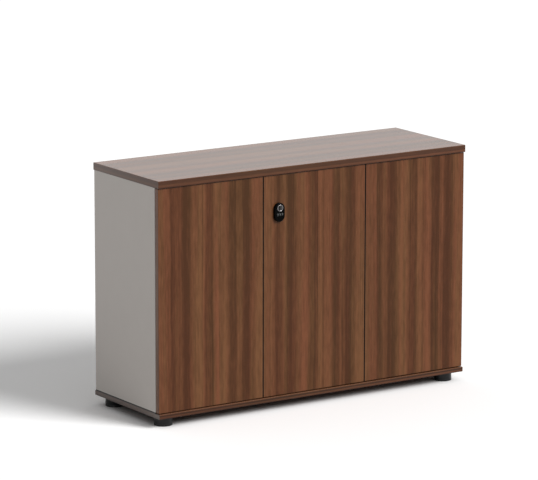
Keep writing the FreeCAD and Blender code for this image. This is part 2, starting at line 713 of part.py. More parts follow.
def bolt_case():
    """The bolt's case, bored from above, with a slot in its back for the thumb piece."""
    half = BOLT_CASE_WIDTH / 2
    case = box((X_BOLT - half, X_BOLT + half), (DOOR_T, DOOR_T + BOLT_CASE_T), (Z_CASE_LOW, Z_CASE_HIGH))
    case = case.makeFillet(CASE_ROUND, edges_in_plane(case, "y", DOOR_T + BOLT_CASE_T))
    play = BOLT_ROD_PLAY
    bore_start = Vector(X_BOLT, Y_BOLT, Z_BOLT_TAIL - play)
    bore = rod(BOLT_ROD_R + play, Z_CASE_HIGH - bore_start.z, bore_start, ALONG_Z)
    slot_half = BOLT_THUMB / 2 + 3 * play
    slot_low = Z_BOLT_TAIL + BOLT_THUMB - 3 * play
    slot = box((X_BOLT - slot_half, X_BOLT + slot_half), (Y_BOLT, DOOR_T + BOLT_CASE_T),
               (slot_low, slot_low + BOLT_THUMB + BOLT_TRAVEL + 6 * play))
    return cut_all(case, [bore, slot] + bolt_screw_holes())


def left_bolt():
    """The bolt, drawn, with the thumb piece that stands out of the case's slot."""
    bolt = rod(BOLT_ROD_R, Z_BOLT_TIP - Z_BOLT_TAIL, Vector(X_BOLT, Y_BOLT, Z_BOLT_TAIL), ALONG_Z)
    low = Z_BOLT_TAIL + BOLT_THUMB
    half = BOLT_THUMB / 2
    thumb = box((X_BOLT - half, X_BOLT + half), (Y_BOLT, DOOR_T + BOLT_CASE_T + BOLT_THUMB / 2),
                (low, low + BOLT_THUMB))
    return bolt.fuse(thumb)


def bolt_screw_points():
    """The case's two screws, beside the bore in opposite corners."""
    side = BOLT_CASE_WIDTH / 2 - SCREW_HEAD_R - CASE_MARGIN
    return [Vector(X_BOLT + dx, DOOR_T + BOLT_CASE_T - SCREW_HEAD_H, z) for dx, z in
            ((-side, Z_CASE_HIGH - 2 * SCREW_HEAD_R), (side, Z_CASE_LOW + 2 * SCREW_HEAD_R))]


BOLT_SCREW_LENGTH = BOLT_CASE_T + SCREW_LENGTH - 2 * SCREW_HEAD_H


def bolt_screw_holes():
    """Shank holes through the case, with a counterbore for each head."""
    tools = []
    for point in bolt_screw_points():
        tools.append(screw_hole(SCREW_R, BOLT_SCREW_LENGTH, point, ALONG_Y))
        tools.append(rod(SCREW_HEAD_R + SCREW_PLAY, BOLT_CASE_T, point, ALONG_Y))
    return tools


def bolt_keeper():
    """The steel plate under the top that the shot bolt passes through."""
    half = KEEPER_HALF
    y = (max(Y_BOLT - half, DOOR_T + DOOR_STANDOFF / 2), Y_BOLT + half)
    plate = box((X_BOLT - half, X_BOLT + half), y, (Z_HIGH, Z_HIGH + KEEPER_T))
    return plate.cut(keeper_hole())


def keeper_hole():
    """The hole for the shot bolt in the keeper and in the top above it."""
    depth = Z_BOLT_TIP + BOLT_TRAVEL - Z_HIGH + KEEPER_PLAY
    return rod(BOLT_ROD_R + KEEPER_PLAY, depth, Vector(X_BOLT, Y_BOLT, Z_HIGH), ALONG_Z)


def keeper_seat():
    """The recess in the top's underside that the keeper lies in, flush."""
    half = KEEPER_HALF
    y = (max(Y_BOLT - half, DOOR_T + DOOR_STANDOFF / 2), Y_BOLT + half)
    return box((X_BOLT - half, X_BOLT + half), y, (Z_HIGH, Z_HIGH + KEEPER_T))


# ---- push latch ----------------------------------------------------------------------------
X_LATCH = X_PARTITION + UPRIGHT_T + LATCH_FROM_PARTITION + LATCH_WIDTH / 2
Z_LATCH = Z_HIGH - LATCH_HEIGHT / 2
Y_LATCH_FRONT = Y_FRONT + LATCH_SETBACK
Y_PLUNGER_TIP = DOOR_T + LATCH_STRIKE_T + PLUNGER_GAP
Y_PLUNGER_TAIL = Y_PLUNGER_TIP + PLUNGER_LENGTH
Y_BORE_END = Y_PLUNGER_TAIL + PLUNGER_TRAVEL + SPRING_SHUT
Y_LATCH_BACK = Y_BORE_END + LATCH_END_WALL
Z_LATCH_STRIKE = min(Z_LATCH, Z_DOOR_HIGH - LATCH_STRIKE_R - BAND_T)


def latch_case():
    """The latch's case under the top, bored for the plunger and the spring behind it."""
    half = LATCH_WIDTH / 2
    case = box((X_LATCH - half, X_LATCH + half), (Y_LATCH_FRONT, Y_LATCH_BACK),
               (Z_LATCH - LATCH_HEIGHT / 2, Z_LATCH + LATCH_HEIGHT / 2))
    case = case.makeFillet(CASE_ROUND, edges_in_plane(case, "z", Z_LATCH - LATCH_HEIGHT / 2))
    axis_start = Vector(X_LATCH, Y_LATCH_FRONT, Z_LATCH)
    bore = rod(PLUNGER_R + PLUNGER_FIT, Y_BORE_END - Y_LATCH_FRONT, axis_start, ALONG_Y)
    return cut_all(case, [bore] + latch_screw_holes())


def latch_screw_points():
    """The case's screws run up into the top, beside the plunger's bore."""
    z = Z_LATCH - LATCH_HEIGHT / 2 + SCREW_HEAD_H
    side = LATCH_WIDTH / 2 - SCREW_HEAD_R - CASE_MARGIN
    front = Y_LATCH_FRONT + 2 * SCREW_HEAD_R
    back = Y_LATCH_BACK - 2 * SCREW_HEAD_R
    return [Vector(X_LATCH - side, front, z), Vector(X_LATCH + side, back, z)]


LATCH_SCREW_LENGTH = LATCH_HEIGHT + SCREW_LENGTH - 2 * SCREW_HEAD_H


def latch_screw_holes():
    tools = []
    for point in latch_screw_points():
        tools.append(screw_hole(SCREW_R, LATCH_SCREW_LENGTH, point, -ALONG_Z))
        tools.append(rod(SCREW_HEAD_R + SCREW_PLAY, LATCH_HEIGHT, point, -ALONG_Z))
    return tools


def latch_plunger():
    """The plunger, with its nose rounded."""
    plunger = rod(PLUNGER_R, PLUNGER_LENGTH, Vector(X_LATCH, Y_PLUNGER_TIP, Z_LATCH), ALONG_Y)
    return plunger.makeFillet(PLUNGER_R / 3, edges_in_plane(plunger, "y", Y_PLUNGER_TIP))


def latch_spring():
    """The coil spring between the plunger's tail and the end of its bore."""
    start = Y_PLUNGER_TAIL + 2 * SPRING_WIRE_R
    length = Y_BORE_END - 2 * SPRING_WIRE_R - start
    path = Part.makeHelix(length / SPRING_COILS, length, SPRING_R)
    section = Part.Wire(Part.Circle(Vector(SPRING_R, 0, 0), ALONG_Y, SPRING_WIRE_R).toShape())
    coil = Part.Wire(path).makePipeShell([section], True, True)
    coil.rotate(Vector(0, 0, 0), ALONG_X, -90)
    return moved(coil, Vector(X_LATCH, start, Z_LATCH))


def right_door_strike():
    """The steel disc on the right door's back that the plunger meets."""
    return rod(LATCH_STRIKE_R, LATCH_STRIKE_T, Vector(X_LATCH, DOOR_T, Z_LATCH_STRIKE), ALONG_Y)


# ---- feet ----------------------------------------------------------------------------------
FEET = {
    "front_left_foot": (FOOT_INSET, FOOT_INSET),
    "front_right_foot": (WIDTH - FOOT_INSET, FOOT_INSET),
    "back_left_foot": (FOOT_INSET, Y_BOARD_BACK - FOOT_INSET),
    "back_right_foot": (WIDTH - FOOT_INSET, Y_BOARD_BACK - FOOT_INSET),
}


def levelling_foot(x, y):
    """A plastic disc with its lower rim rounded, moulded round a threaded stem."""
    height = FOOT_HEIGHT - FOOT_GAP
    disc = rod(FOOT_R, height, Vector(x, y, 0), ALONG_Z)
    disc = disc.makeFillet(FOOT_ROUND, edges_in_plane(disc, "z", 0))
    disc = disc.makeChamfer(FOOT_TOP_BEVEL, edges_in_plane(disc, "z", height))
    stem = rod(STEM_R, FOOT_GAP + STEM_BITE + STEM_ROOT, Vector(x, y, height - STEM_ROOT), ALONG_Z)
    return disc.fuse(stem)


def foot_insert(x, y):
    """The threaded sleeve in the base that a foot's stem turns in."""
    sleeve = rod(INSERT_R, INSERT_LENGTH, Vector(x, y, Z_BASE), ALONG_Z)
    flange = rod(INSERT_FLANGE_R, INSERT_FLANGE_T, Vector(x, y, Z_BASE - INSERT_FLANGE_T), ALONG_Z)
    bore = rod(STEM_R + RUNNING_FIT, BASE_T, Vector(x, y, Z_BASE - INSERT_FLANGE_T), ALONG_Z)
    return sleeve.fuse(flange).cut(bore)


def insert_hole(x, y):
    """The hole for that sleeve in the base."""
    return rod(INSERT_R, INSERT_LENGTH, Vector(x, y, Z_BASE), ALONG_Z)


# ---- assembly ------------------------------------------------------------------------------
def build_carcase():
    cams, bolts, dowels, upright_holes, board_holes = cam_fittings()
    pins, pin_holes = shelf_pins()
    panels, grooves = back_panels()
    boards, shelf_bands = shelves()
    feet = list(FEET.values())

    board_x = (0, WIDTH)
    board_y = (Y_BOARD_FRONT, Y_BOARD_BACK)
    top, top_bands = banded(board_x, board_y, (Z_HIGH, Z_TOP), "y", "x")
    base, base_bands = banded(board_x, board_y, (Z_BASE, Z_LOW), "y", "x")
    top_holes = board_holes + grooves + [keeper_seat(), keeper_hole()] + latch_screw_holes()
    save("top_panel", [cut_all(top, top_holes)])
    save("top_edge_bands", top_bands)
    save("base_panel", [cut_all(base, board_holes + grooves + [insert_hole(*foot) for foot in feet])])
    save("base_edge_bands", base_bands)

    hinge_holes = [[], [], []]
    for door in range(DOOR_COUNT):
        hinge_holes[CARRIERS[door]] += at_hinges(door, plate_screw_holes(carrier_face(door)))
    upright_bands = []
    for index, name in enumerate(("left_side_panel", "partition", "right_side_panel")):
        x = (UPRIGHTS_X[index], UPRIGHTS_X[index] + UPRIGHT_T)
        z = (Z_LOW, Z_HIGH)
        board = box(x, (Y_FRONT + BAND_T, Y_BACK), z)
        save(name, [cut_all(board, upright_holes[index] + pin_holes[index] + hinge_holes[index] + grooves)])
        upright_bands.append(box(x, (Y_FRONT, Y_FRONT + BAND_T), z))
    save("upright_edge_bands", upright_bands)

    save("left_back_panel", panels[:1])
    save("right_back_panel", panels[1:])
    save("left_shelf", boards[:1])
    save("right_shelf", boards[1:])
    save("shelf_edge_bands", shelf_bands)
    save("shelf_pins", pins)
    save("cam_locks", cams)
    save("cam_bolts", bolts)
    save("dowels", dowels)
    save("foot_inserts", [foot_insert(*foot) for foot in feet])
    save("bolt_keeper", [bolt_keeper()])
    save("latch_case", [latch_case()])
    save("latch_spring", [latch_spring()])


def build_hinges():
    plates, arms, pins, screws = [], [], [], []
    for door in range(DOOR_COUNT):
        face = carrier_face(door)
        plates += at_hinges(door, [hinge_plate(face)])
        arms += at_hinges(door, [hinge_arm(face)])
        pins += at_hinges(door, [link_pin()])
        screws += at_hinges(door, plate_screws(face))
    for point in latch_screw_points():
        screws.append(screw(SCREW_R, SCREW_HEAD_R, LATCH_SCREW_LENGTH, point, -ALONG_Z))
    save("hinge_plates", plates)
    save("hinge_arms", arms)
    save("hinge_pins", pins)
    save("carcase_screws", screws)
    for door, side in enumerate(("left", "middle", "right")):
        save(side + "_hinge_links", at_hinges(door, [hinge_link()]))


def build_left_door():
    panel, bands = door_board(0, strike_screw_holes() + bolt_screw_holes())
    screws = at_hinges(0, cup_screws())
    for point in strike_screw_points():
        screws.append(screw(SCREW_R, SCREW_HEAD_R, SCREW_LENGTH, point, ALONG_Y))
    for point in bolt_screw_points():
        screws.append(screw(SCREW_R, SCREW_HEAD_R, BOLT_SCREW_LENGTH, point, ALONG_Y))
    save("left_door_panel", [panel])
    save("left_door_edge_bands", bands)
    save("left_hinge_cups", at_hinges(0, [hinge_cup()]))
    save("left_door_screws", screws)
    save("lock_strike", [lock_strike()])
    save("bolt_case", [bolt_case()])
    save("left_bolt", [left_bolt()])


def build_middle_door():
    barrel_hole = rod(BARREL_R + BARREL_PLAY, DOOR_T, knob_axis(0), ALONG_Y)
    panel, bands = door_board(1, [barrel_hole])
    save("middle_door_panel", [panel])
    save("middle_door_edge_bands", bands)
    save("middle_hinge_cups", at_hinges(1, [hinge_cup()]))
    save("middle_door_screws", at_hinges(1, cup_screws()))
    save("lock_housing", [lock_housing()])
    save("lock_nut", [lock_nut()])
    save("wheel_axle", [wheel_axle()])
    save("knob_ring", [knob_ring()])
    save("lock_knob", [lock_knob()])
    save("lock_spindle", [lock_spindle()])
    save("lock_cam", [lock_cam()])
    for index in range(WHEEL_COUNT):
        save("number_wheel_" + str(index + 1), [number_wheel(index)])


def build_right_door():
    panel, bands = door_board(2, [])
    save("right_door_panel", [panel])
    save("right_door_edge_bands", bands)
    save("right_hinge_cups", at_hinges(2, [hinge_cup()]))
    save("right_door_screws", at_hinges(2, cup_screws()))
    save("right_door_strike", [right_door_strike()])
    save("latch_plunger", [latch_plunger()])


def build_feet():
    for name, (x, y) in FEET.items():
        save(name, [levelling_foot(x, y)])


os.makedirs("parts", exist_ok=True)
build_carcase()
build_hinges()
build_left_door()
build_middle_door()
build_right_door()
build_feet()
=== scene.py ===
# %% [markdown]
# # An office credenza in walnut and warm grey
#
# The imported model is the fixed frame: every board, hinge and screw already stands in its place,
# in metres, and nothing here moves it. This lesson adds what plain solids lack: rounded edge
# bands, screw heads with their crosses, the lock's thumb turn and dial, a latch spring, the feet,
# and a finish for every surface.

# %% Load the frame
import json
from math import pi, radians, tau

import bmesh
import bpy
import numpy as np
from mathutils import Matrix, Vector


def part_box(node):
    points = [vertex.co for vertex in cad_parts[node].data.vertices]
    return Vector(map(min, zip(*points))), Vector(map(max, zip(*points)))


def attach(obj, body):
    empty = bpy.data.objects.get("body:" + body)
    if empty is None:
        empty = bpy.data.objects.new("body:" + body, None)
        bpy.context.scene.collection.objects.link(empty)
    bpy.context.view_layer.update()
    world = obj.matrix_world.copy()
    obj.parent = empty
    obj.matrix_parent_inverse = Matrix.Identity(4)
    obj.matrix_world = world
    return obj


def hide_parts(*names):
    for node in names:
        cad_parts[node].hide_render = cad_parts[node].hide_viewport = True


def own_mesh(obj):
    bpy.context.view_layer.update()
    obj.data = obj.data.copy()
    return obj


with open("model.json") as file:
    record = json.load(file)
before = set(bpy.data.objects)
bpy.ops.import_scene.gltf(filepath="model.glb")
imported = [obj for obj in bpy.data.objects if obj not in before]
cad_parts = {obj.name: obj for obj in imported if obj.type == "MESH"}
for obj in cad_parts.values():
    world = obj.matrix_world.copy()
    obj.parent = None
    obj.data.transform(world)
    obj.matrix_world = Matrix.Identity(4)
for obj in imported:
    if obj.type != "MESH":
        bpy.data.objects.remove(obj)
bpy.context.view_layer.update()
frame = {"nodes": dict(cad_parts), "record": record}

nodes = frame["nodes"]
MM = 0.001

# %% [markdown]
# ## The camera
#
# A piece of furniture is shown best from a little above and with a long lens, because a short one
# makes its upright edges lean. The camera stands more than ten metres away, so the boards stay
# nearly parallel. It could be aimed with a constraint, but three plain turns are easier to read:
# tip it down, turn it to the side, and add the small roll that levels the picture.

# %% Place the camera
CAMERA_PLACE = (-6.655, -9.981, 2.996)
LENS = 248.87
DOWN, SIDE, ROLL = radians(11.676), radians(33.485), radians(0.079)

camera = bpy.data.objects.new("camera", bpy.data.cameras.new("camera"))
bpy.context.scene.collection.objects.link(camera)
bpy.context.scene.camera = camera
camera.data.sensor_width = 36.0
camera.data.lens = LENS
camera.data.clip_end = 200.0
camera.matrix_world = (
    Matrix.Translation(CAMERA_PLACE)
    @ Matrix.Rotation(-SIDE, 4, "Z")
    @ Matrix.Rotation(pi / 2 - DOWN, 4, "X")
    @ Matrix.Rotation(ROLL, 4, "Z")
)
bpy.context.scene.view_settings.view_transform = "Standard"
print("camera at", CAMERA_PLACE, "with a", LENS, "mm lens")

# %% [markdown]
# ## Mixing finishes
#
# Every finish below is a small recipe of shader nodes. Wiring them by hand takes many lines, so a
# helper holds one material and adds nodes to it. A value that comes from another node is linked;
# a plain number is written on the socket itself. All patterns read Object coordinates, which are
# the same metres as the model's, so a grain line stays where it is when a door swings.


# %% A helper that mixes one material
def paint(red, green, blue):
    """A chart colour, 0 to 255, made linear: ((c + 0.055) / 1.055) to the power 2.4."""
    return tuple(((c / 255 + 0.055) / 1.055) ** 2.4 for c in (red, green, blue)) + (1.0,)


class Finish:
    """One material, its shader, and short ways to add the nodes that feed it."""

    def __init__(self, name):
        self.material = bpy.data.materials.new(name)
        self.material.use_nodes = True
        self.tree = self.material.node_tree
        self.shader = self.tree.nodes["Principled BSDF"]
        self.place = self.node("TexCoord").outputs["Object"]
        self.at = dict(zip("xyz", self.node("SeparateXYZ", {"Vector": self.place}).outputs))

    def feed(self, socket, value):
        """Links a node's output to the socket, or writes a plain value on it."""
        if isinstance(value, bpy.types.NodeSocket):
            self.tree.links.new(value, socket)
        else:
            socket.default_value = value

    def node(self, kind, feeds=(), **settings):
        """Adds a node, makes its settings and feeds its sockets."""
        made = self.tree.nodes.new("ShaderNode" + kind)
        for setting, value in settings.items():
            setattr(made, setting, value)
        for socket, value in dict(feeds).items():
            self.feed(made.inputs[socket], value)
        return made

    def maths(self, operation, *values):
        """One sum on numbers or outputs."""
        return self.node("Math", dict(enumerate(values)), operation=operation).outputs[0]

    def noise(self, vector, detail=2.0, roughness=0.5):
        """Cloudy noise, 0 to 1, that changes about once for each unit of the vector."""
        feeds = {"Vector": vector, "Scale": 1.0, "Detail": detail, "Roughness": roughness}
        return self.node("TexNoise", feeds).outputs["Fac"]

    def stretched(self, x, y, z):
        """Object coordinates times a number for each axis: changes per metre."""
        feeds = {0: self.place, 1: (x, y, z)}
        return self.node("VectorMath", feeds, operation="MULTIPLY").outputs[0]

    def rescaled(self, value, low, high, to_low=0.0, to_high=1.0, kind="LINEAR"):
        """The value, moved from low..high to to_low..to_high and kept inside it."""
        feeds = {"Value": value, "From Min": low, "From Max": high,
                 "To Min": to_low, "To Max": to_high}
        return self.node("MapRange", feeds, interpolation_type=kind).outputs[0]

    def blend(self, share, first, second):
        """A colour between two, by share."""
        return self.node("Mix", {0: share, 6: first, 7: second}, data_type="RGBA").outputs[2]

    def colours(self, value, stops):
        """A colour read from a ramp of (place, colour) stops."""
        made = self.node("ValToRGB", {"Fac": value})
        ramp = made.color_ramp.elements
        for place, _ in stops[2:]:
            ramp.new(place)
        for stop, (place, colour) in zip(ramp, stops):
            stop.position, stop.color = place, colour
        return made.outputs["Color"]

    def drawn(self, value, points):
        """A curve drawn through the given points, from 0 to 1 across and up."""
        made = self.node("FloatCurve", {"Value": value})
        curve = made.mapping.curves[0].points
        for _ in points[2:]:
            curve.new(0.5, 0.5)
        for point, place in zip(curve, points):
            point.location = place
        made.mapping.update()
        return made.outputs[0]

    def surface(self, colour, roughness, height=None, depth=0.0, **sockets):
        """Feeds the shader. height is a bump pattern, and depth how deep it is in metres."""
        self.feed(self.shader.inputs["Base Color"], colour)
        self.feed(self.shader.inputs["Roughness"], roughness)
        for socket, value in sockets.items():
            self.feed(self.shader.inputs[socket.replace("_", " ")], value)
        if height is not None:
            bump = self.node("Bump", {"Height": height, "Distance": depth})
            self.feed(self.shader.inputs["Normal"], bump.outputs[0])
        return self.material


print("a recipe starts with", len(Finish("scratch").tree.nodes), "nodes")
bpy.data.materials.remove(bpy.data.materials["scratch"])

# %% [markdown]
# ## Floor, sky and lamp
#
# A catalogue picture has a pale floor that runs out of sight and one soft lamp high in front, to
# the right. A sun lamp with a wide disc gives that soft shadow at any distance; a softbox would
# need to stand close. What the camera and the reflections see is white, while the light that the
# sky gives to the boards is weaker, or the shadow would wash out.
#
# Close under the cabinet, where little of the sky can be seen, the floor is also drawn darker, a
# painted contact shadow: its colour falls off with how open the sky is above each point, within
# ten centimetres. The lamp and the sky alone gave a weaker contact shadow. Only what is seen
# directly changes; the light that the floor sends back to the boards stays plain.

# %% Build the studio
SKY_LIGHT = 0.36
LAMP_STRENGTH = 3.08
LAMP_DISC = radians(29.3)
LAMP_TRAVEL = Vector((-0.7056, 1.3079, -1.0))
FLOOR_REACH = 60.0
CONTACT_REACH = 0.10
CONTACT_FALL = 0.17


def grey(level):
    """An even grey, as a linear colour."""
    return (level, level, level, 1.0)


# The black is the colour of the floor's painted contact shadow.
FLOOR_SEEN, FLOOR_PAINTED_SHADOW, FLOOR_LIT = grey(1.18), grey(0.0), grey(0.70)


def seen_directly(tree):
    """1 for rays from the camera, a mirror or glass, and 0 for the light between surfaces."""
    rays = tree.nodes.new("ShaderNodeLightPath")
    total = rays.outputs["Is Camera Ray"]
    for other in ("Is Glossy Ray", "Is Transmission Ray"):
        added = tree.nodes.new("ShaderNodeMath")
        added.operation, added.use_clamp = "ADD", True
        tree.links.new(total, added.inputs[0])
        tree.links.new(rays.outputs[other], added.inputs[1])
        total = added.outputs[0]
    return total


sky = bpy.data.worlds.new("studio_sky")
bpy.context.scene.world = sky
sky.use_nodes = True
sky_light = sky.node_tree.nodes["Background"]
sky_light.inputs["Color"].default_value = grey(1.0)
level = sky.node_tree.nodes.new("ShaderNodeMapRange")
level.inputs["To Min"].default_value = SKY_LIGHT
sky.node_tree.links.new(seen_directly(sky.node_tree), level.inputs["Value"])
sky.node_tree.links.new(level.outputs[0], sky_light.inputs["Strength"])

lamp = bpy.data.objects.new("lamp", bpy.data.lights.new("lamp", "SUN"))
bpy.context.scene.collection.objects.link(lamp)
lamp.data.energy = LAMP_STRENGTH
lamp.data.angle = LAMP_DISC
lamp.rotation_mode = "QUATERNION"
lamp.rotation_quaternion = LAMP_TRAVEL.to_track_quat("-Z", "Y")
print("sky", SKY_LIGHT, "and lamp", LAMP_STRENGTH)

# %% Lay the floor
floor_mesh = bpy.data.meshes.new("floor")
signs = ((-1, -1), (1, -1), (1, 1), (-1, 1))
floor_corners = [(x * FLOOR_REACH, y * FLOOR_REACH, 0.0) for x, y in signs]
floor_mesh.from_pydata(floor_corners, [], [(0, 1, 2, 3)])
floor = bpy.data.objects.new("floor", floor_mesh)
bpy.context.scene.collection.objects.link(floor)
floor_finish = Finish("pale_floor")
# Where little sky is open above the floor, its colour seen directly falls to black: a painted
# contact shadow.
open_sky = floor_finish.node("AmbientOcclusion", {"Distance": CONTACT_REACH},
                             samples=16).outputs["AO"]
deep = floor_finish.maths("EXPONENT", floor_finish.maths("DIVIDE", open_sky, -CONTACT_FALL))
contact_shadow = floor_finish.blend(deep, FLOOR_SEEN, FLOOR_PAINTED_SHADOW)
floor_colour = floor_finish.blend(seen_directly(floor_finish.tree), FLOOR_LIT, contact_shadow)
floor_mesh.materials.append(floor_finish.surface(floor_colour, 1.0, IOR=1.0))
print("floor reaches", FLOOR_REACH, "m each way, and darkens within", CONTACT_REACH, "m of a part")

# %% [markdown]
# ## Walnut décor
#
# The doors, top and base are chipboard under a printed walnut paper. The print repeats every
# 400 mm, which is why the three doors carry the same figure: five dark lines with warm brown
# between them. A picture of a board would be one way to show it; a curve drawn across the width
# is lighter and has no end. The lines waver a little along the board. Finer noise makes
# the grain, the longest and highest peaks of one noise make thin dark veins, short dark pores lie
# along the grain, and slow streaks turn the brown a little redder or more golden.
#
# Between two doors there is a gap of 3 mm, and little light comes back out of it. The paper on
# the doors' edges, everywhere but on the cabinet's two outer edges, is given darker tones, to make
# the seams and the gaps above and below the doors darker still. That is a painted shade: it stays
# dark when a door stands open.

# %% Mix walnut
REPEAT = 0.400
DOOR_FIGURE = [
    (0.00, 0.75), (0.05, 0.78), (0.09, 0.72), (0.12, 0.50), (0.145, 0.15), (0.17, 0.40),
    (0.20, 0.58), (0.23, 0.38), (0.265, 0.02), (0.30, 0.28), (0.35, 0.72), (0.40, 0.88),
    (0.44, 0.60), (0.50, 0.28), (0.53, 0.62), (0.56, 0.90), (0.59, 0.65), (0.62, 0.84),
    (0.67, 0.60), (0.713, 0.10), (0.75, 0.50), (0.775, 0.58), (0.80, 0.35), (0.835, 0.00),
    (0.87, 0.25), (0.92, 0.76), (0.96, 0.88), (1.00, 0.75),
]
WALNUT_TONES = [
    (0.00, paint(68, 39, 18)), (0.25, paint(78, 46, 25)), (0.50, paint(88, 54, 31)),
    (0.75, paint(98, 61, 38)), (1.00, paint(109, 69, 44)),
]
# Darker tones for the doors' edges in the seams and gaps: a painted shade.
SEAM_SHADE_TONES = [(0.0, paint(28, 15, 8)), (0.5, paint(42, 25, 15)), (1.0, paint(58, 36, 23))]
PORE_TONE = paint(48, 28, 14)
GOLDEN, REDDER = (0.97, 1.05, 0.98, 1.0), (1.03, 0.93, 0.95, 1.0)
GRAIN_SHARE, FLECK_SHARE, MOTTLE_SHARE, VEIN_SHARE = 2.5, 2.0, 1.3, 0.9
GRAIN_DEPTH = 0.03 * MM


def walnut(name, along, across, start, repeat, figure, tones=WALNUT_TONES, wander=0.006, ior=1.25,
           shine=0.30, life=0.4, seam=None):
    """Walnut with its grain along one axis.

    tone = figure(place across, wavering by wander metres) + life * (grain + flecks + mottling
    - veins), and the tone picks a brown from the ramp. Veins and pores are the highest peaks of
    long noises. Slow streaks make the brown redder or more golden. Where the distance from the
    cabinet's middle, along X, is less than seam, the dark tones of the painted seam shade are
    used instead.
    """
    mix = Finish(name)
    third = ({"x", "y", "z"} - {along, across}).pop()
    slow = mix.node("CombineXYZ", {0: mix.maths("MULTIPLY", mix.at[across], 9.0),
                                   1: mix.maths("MULTIPLY", mix.at[along], 2.2),
                                   2: mix.at[third]}).outputs[0]
    sway = mix.maths("MULTIPLY_ADD", mix.noise(slow, 2.0), wander * 2, -wander)
    place = mix.maths("ADD", mix.at[across], sway)
    turns = mix.maths("DIVIDE", mix.maths("SUBTRACT", place, start), repeat)
    tone = mix.drawn(mix.maths("FRACT", turns), figure)

    def lines(per_metre, length_per_metre, detail):
        """Noise drawn out along the grain: so many changes per metre across it and along it."""
        parts = {0: mix.maths("MULTIPLY", place, per_metre),
                 1: mix.maths("MULTIPLY", mix.at[along], length_per_metre),
                 2: mix.maths("MULTIPLY", mix.at[third], per_metre)}
        return mix.noise(mix.node("CombineXYZ", parts).outputs[0], detail)

    grain = lines(150.0, 1.2, 4.0)
    mottle = lines(30.0, 7.0, 2.0)
    pores = mix.rescaled(lines(1400.0, 55.0, 1.0), 0.66, 0.74)
    flecks = lines(170.0, 24.0, 2.0)
    veins = mix.rescaled(lines(105.0, 0.7, 2.0), 0.60, 0.70)
    for pattern, share in ((grain, GRAIN_SHARE), (flecks, FLECK_SHARE), (mottle, MOTTLE_SHARE)):
        share *= life
        tone = mix.maths("ADD", tone, mix.maths("MULTIPLY_ADD", pattern, share, -share / 2))
    tone = mix.maths("MULTIPLY_ADD", veins, -VEIN_SHARE * life, tone)
    colour = mix.colours(tone, tones)
    # Between the doors the tones are swapped for darker ones: a painted shade.
    if seam is not None:
        inner = mix.maths("LESS_THAN", mix.maths("ABSOLUTE", mix.at["x"]), seam)
        colour = mix.blend(inner, colour, mix.colours(tone, SEAM_SHADE_TONES))
    warmth = mix.blend(mix.rescaled(lines(34.0, 1.0, 1.0), 0.36, 0.64), GOLDEN, REDDER)
    colour = mix.node("Mix", {0: 1.0, 6: colour, 7: warmth}, data_type="RGBA",
                      blend_type="MULTIPLY").outputs[2]
    colour = mix.blend(mix.maths("MULTIPLY", pores, life), colour, PORE_TONE)
    sheen = mix.maths("MULTIPLY_ADD", grain, 0.10, shine - 0.05)
    height = mix.maths("SUBTRACT", grain, pores)
    return mix.surface(colour, sheen, height, GRAIN_DEPTH, IOR=ior)


TOP_TONES = [(0.0, paint(84, 48, 24)), (0.5, paint(104, 64, 38)), (1.0, paint(126, 80, 52))]
BOARD_FRONT = -REPEAT / 2
top_low, top_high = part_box("top_edge_bands")
walnut_door = walnut("walnut_door", "z", "x", top_low.x, REPEAT, DOOR_FIGURE)
walnut_board = walnut("walnut_board", "x", "y", BOARD_FRONT, REPEAT, DOOR_FIGURE)
walnut_top = walnut("walnut_top", "x", "y", BOARD_FRONT, REPEAT, DOOR_FIGURE, TOP_TONES, ior=1.46,
                    shine=0.22, life=0.3)
print("walnut repeats every", REPEAT * 1000, "mm")

# %% [markdown]
# ## Edge-band paper
#
# The bands on the boards' edges are thin strips of the same décor, and their grain always runs
# along the strip. Across so narrow a strip only one or two of the broad lines fit, so each gets a
# short figure of its own; the top band's figure ends light at its top edge, partly print and
# partly a painted highlight. The base's two ends are given duller, greyer tones than its front, a
# painted grey sheen, and a figure of their own that draws a painted dark shade line along their
# top edge, where the side panels stand, and runs darker towards the bottom. The doors' bands keep
# the doors' figure, and take the painted seam shade tones everywhere but on the cabinet's two
# outer edges.

# %% Mix the bands
BAND_TONES = [(0.0, paint(50, 28, 14)), (0.5, paint(74, 44, 27)), (1.0, paint(99, 62, 40))]
# Greyer, duller tones for the base's two ends: a painted grey sheen.
SHEEN_TONES = [(0.0, paint(40, 27, 20)), (0.5, paint(64, 48, 40)), (1.0, paint(86, 70, 61))]
# Its light last stop, at the band's top edge, is partly print and partly a painted highlight.
TOP_BAND_FIGURE_LIT = [
    (0.00, 0.30), (0.08, 0.40), (0.17, 0.66), (0.29, 0.78), (0.38, 0.66), (0.50, 0.54),
    (0.62, 0.45), (0.80, 0.42), (0.88, 0.60), (1.00, 0.90),
]
BASE_BAND_FIGURE = [
    (0.00, 0.02), (0.12, 0.25), (0.25, 0.74), (0.38, 0.72), (0.50, 0.28), (0.62, 0.00),
    (0.74, 0.10), (0.86, 0.75), (1.00, 1.00),
]
# Its last stops paint a dark shade line along the top edge; it is darker towards the bottom.
BASE_SIDE_SHADED_FIGURE = [
    (0.00, 0.35), (0.35, 0.75), (0.60, 1.05), (0.80, 1.00), (0.92, 0.20), (1.00, -0.30),
]
base_low, base_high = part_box("base_edge_bands")


def band_paper(name, low, high, front, side):
    """Walnut bands along X and along Y: each figure runs once over the strip's height.

    front and side each hold a figure, its tones and the paper's index of refraction. The figure
    is a thousandth longer than the strip is high, so that it doesn't start again at its edge.
    """
    height = 1.001 * (high.z - low.z)
    return [walnut(name + axis, axis, "z", low.z, height, figure, tones, wander=0.0006, ior=ior,
                   shine=0.35, life=0.2)
            for axis, (figure, tones, ior) in (("x", front), ("y", side))]


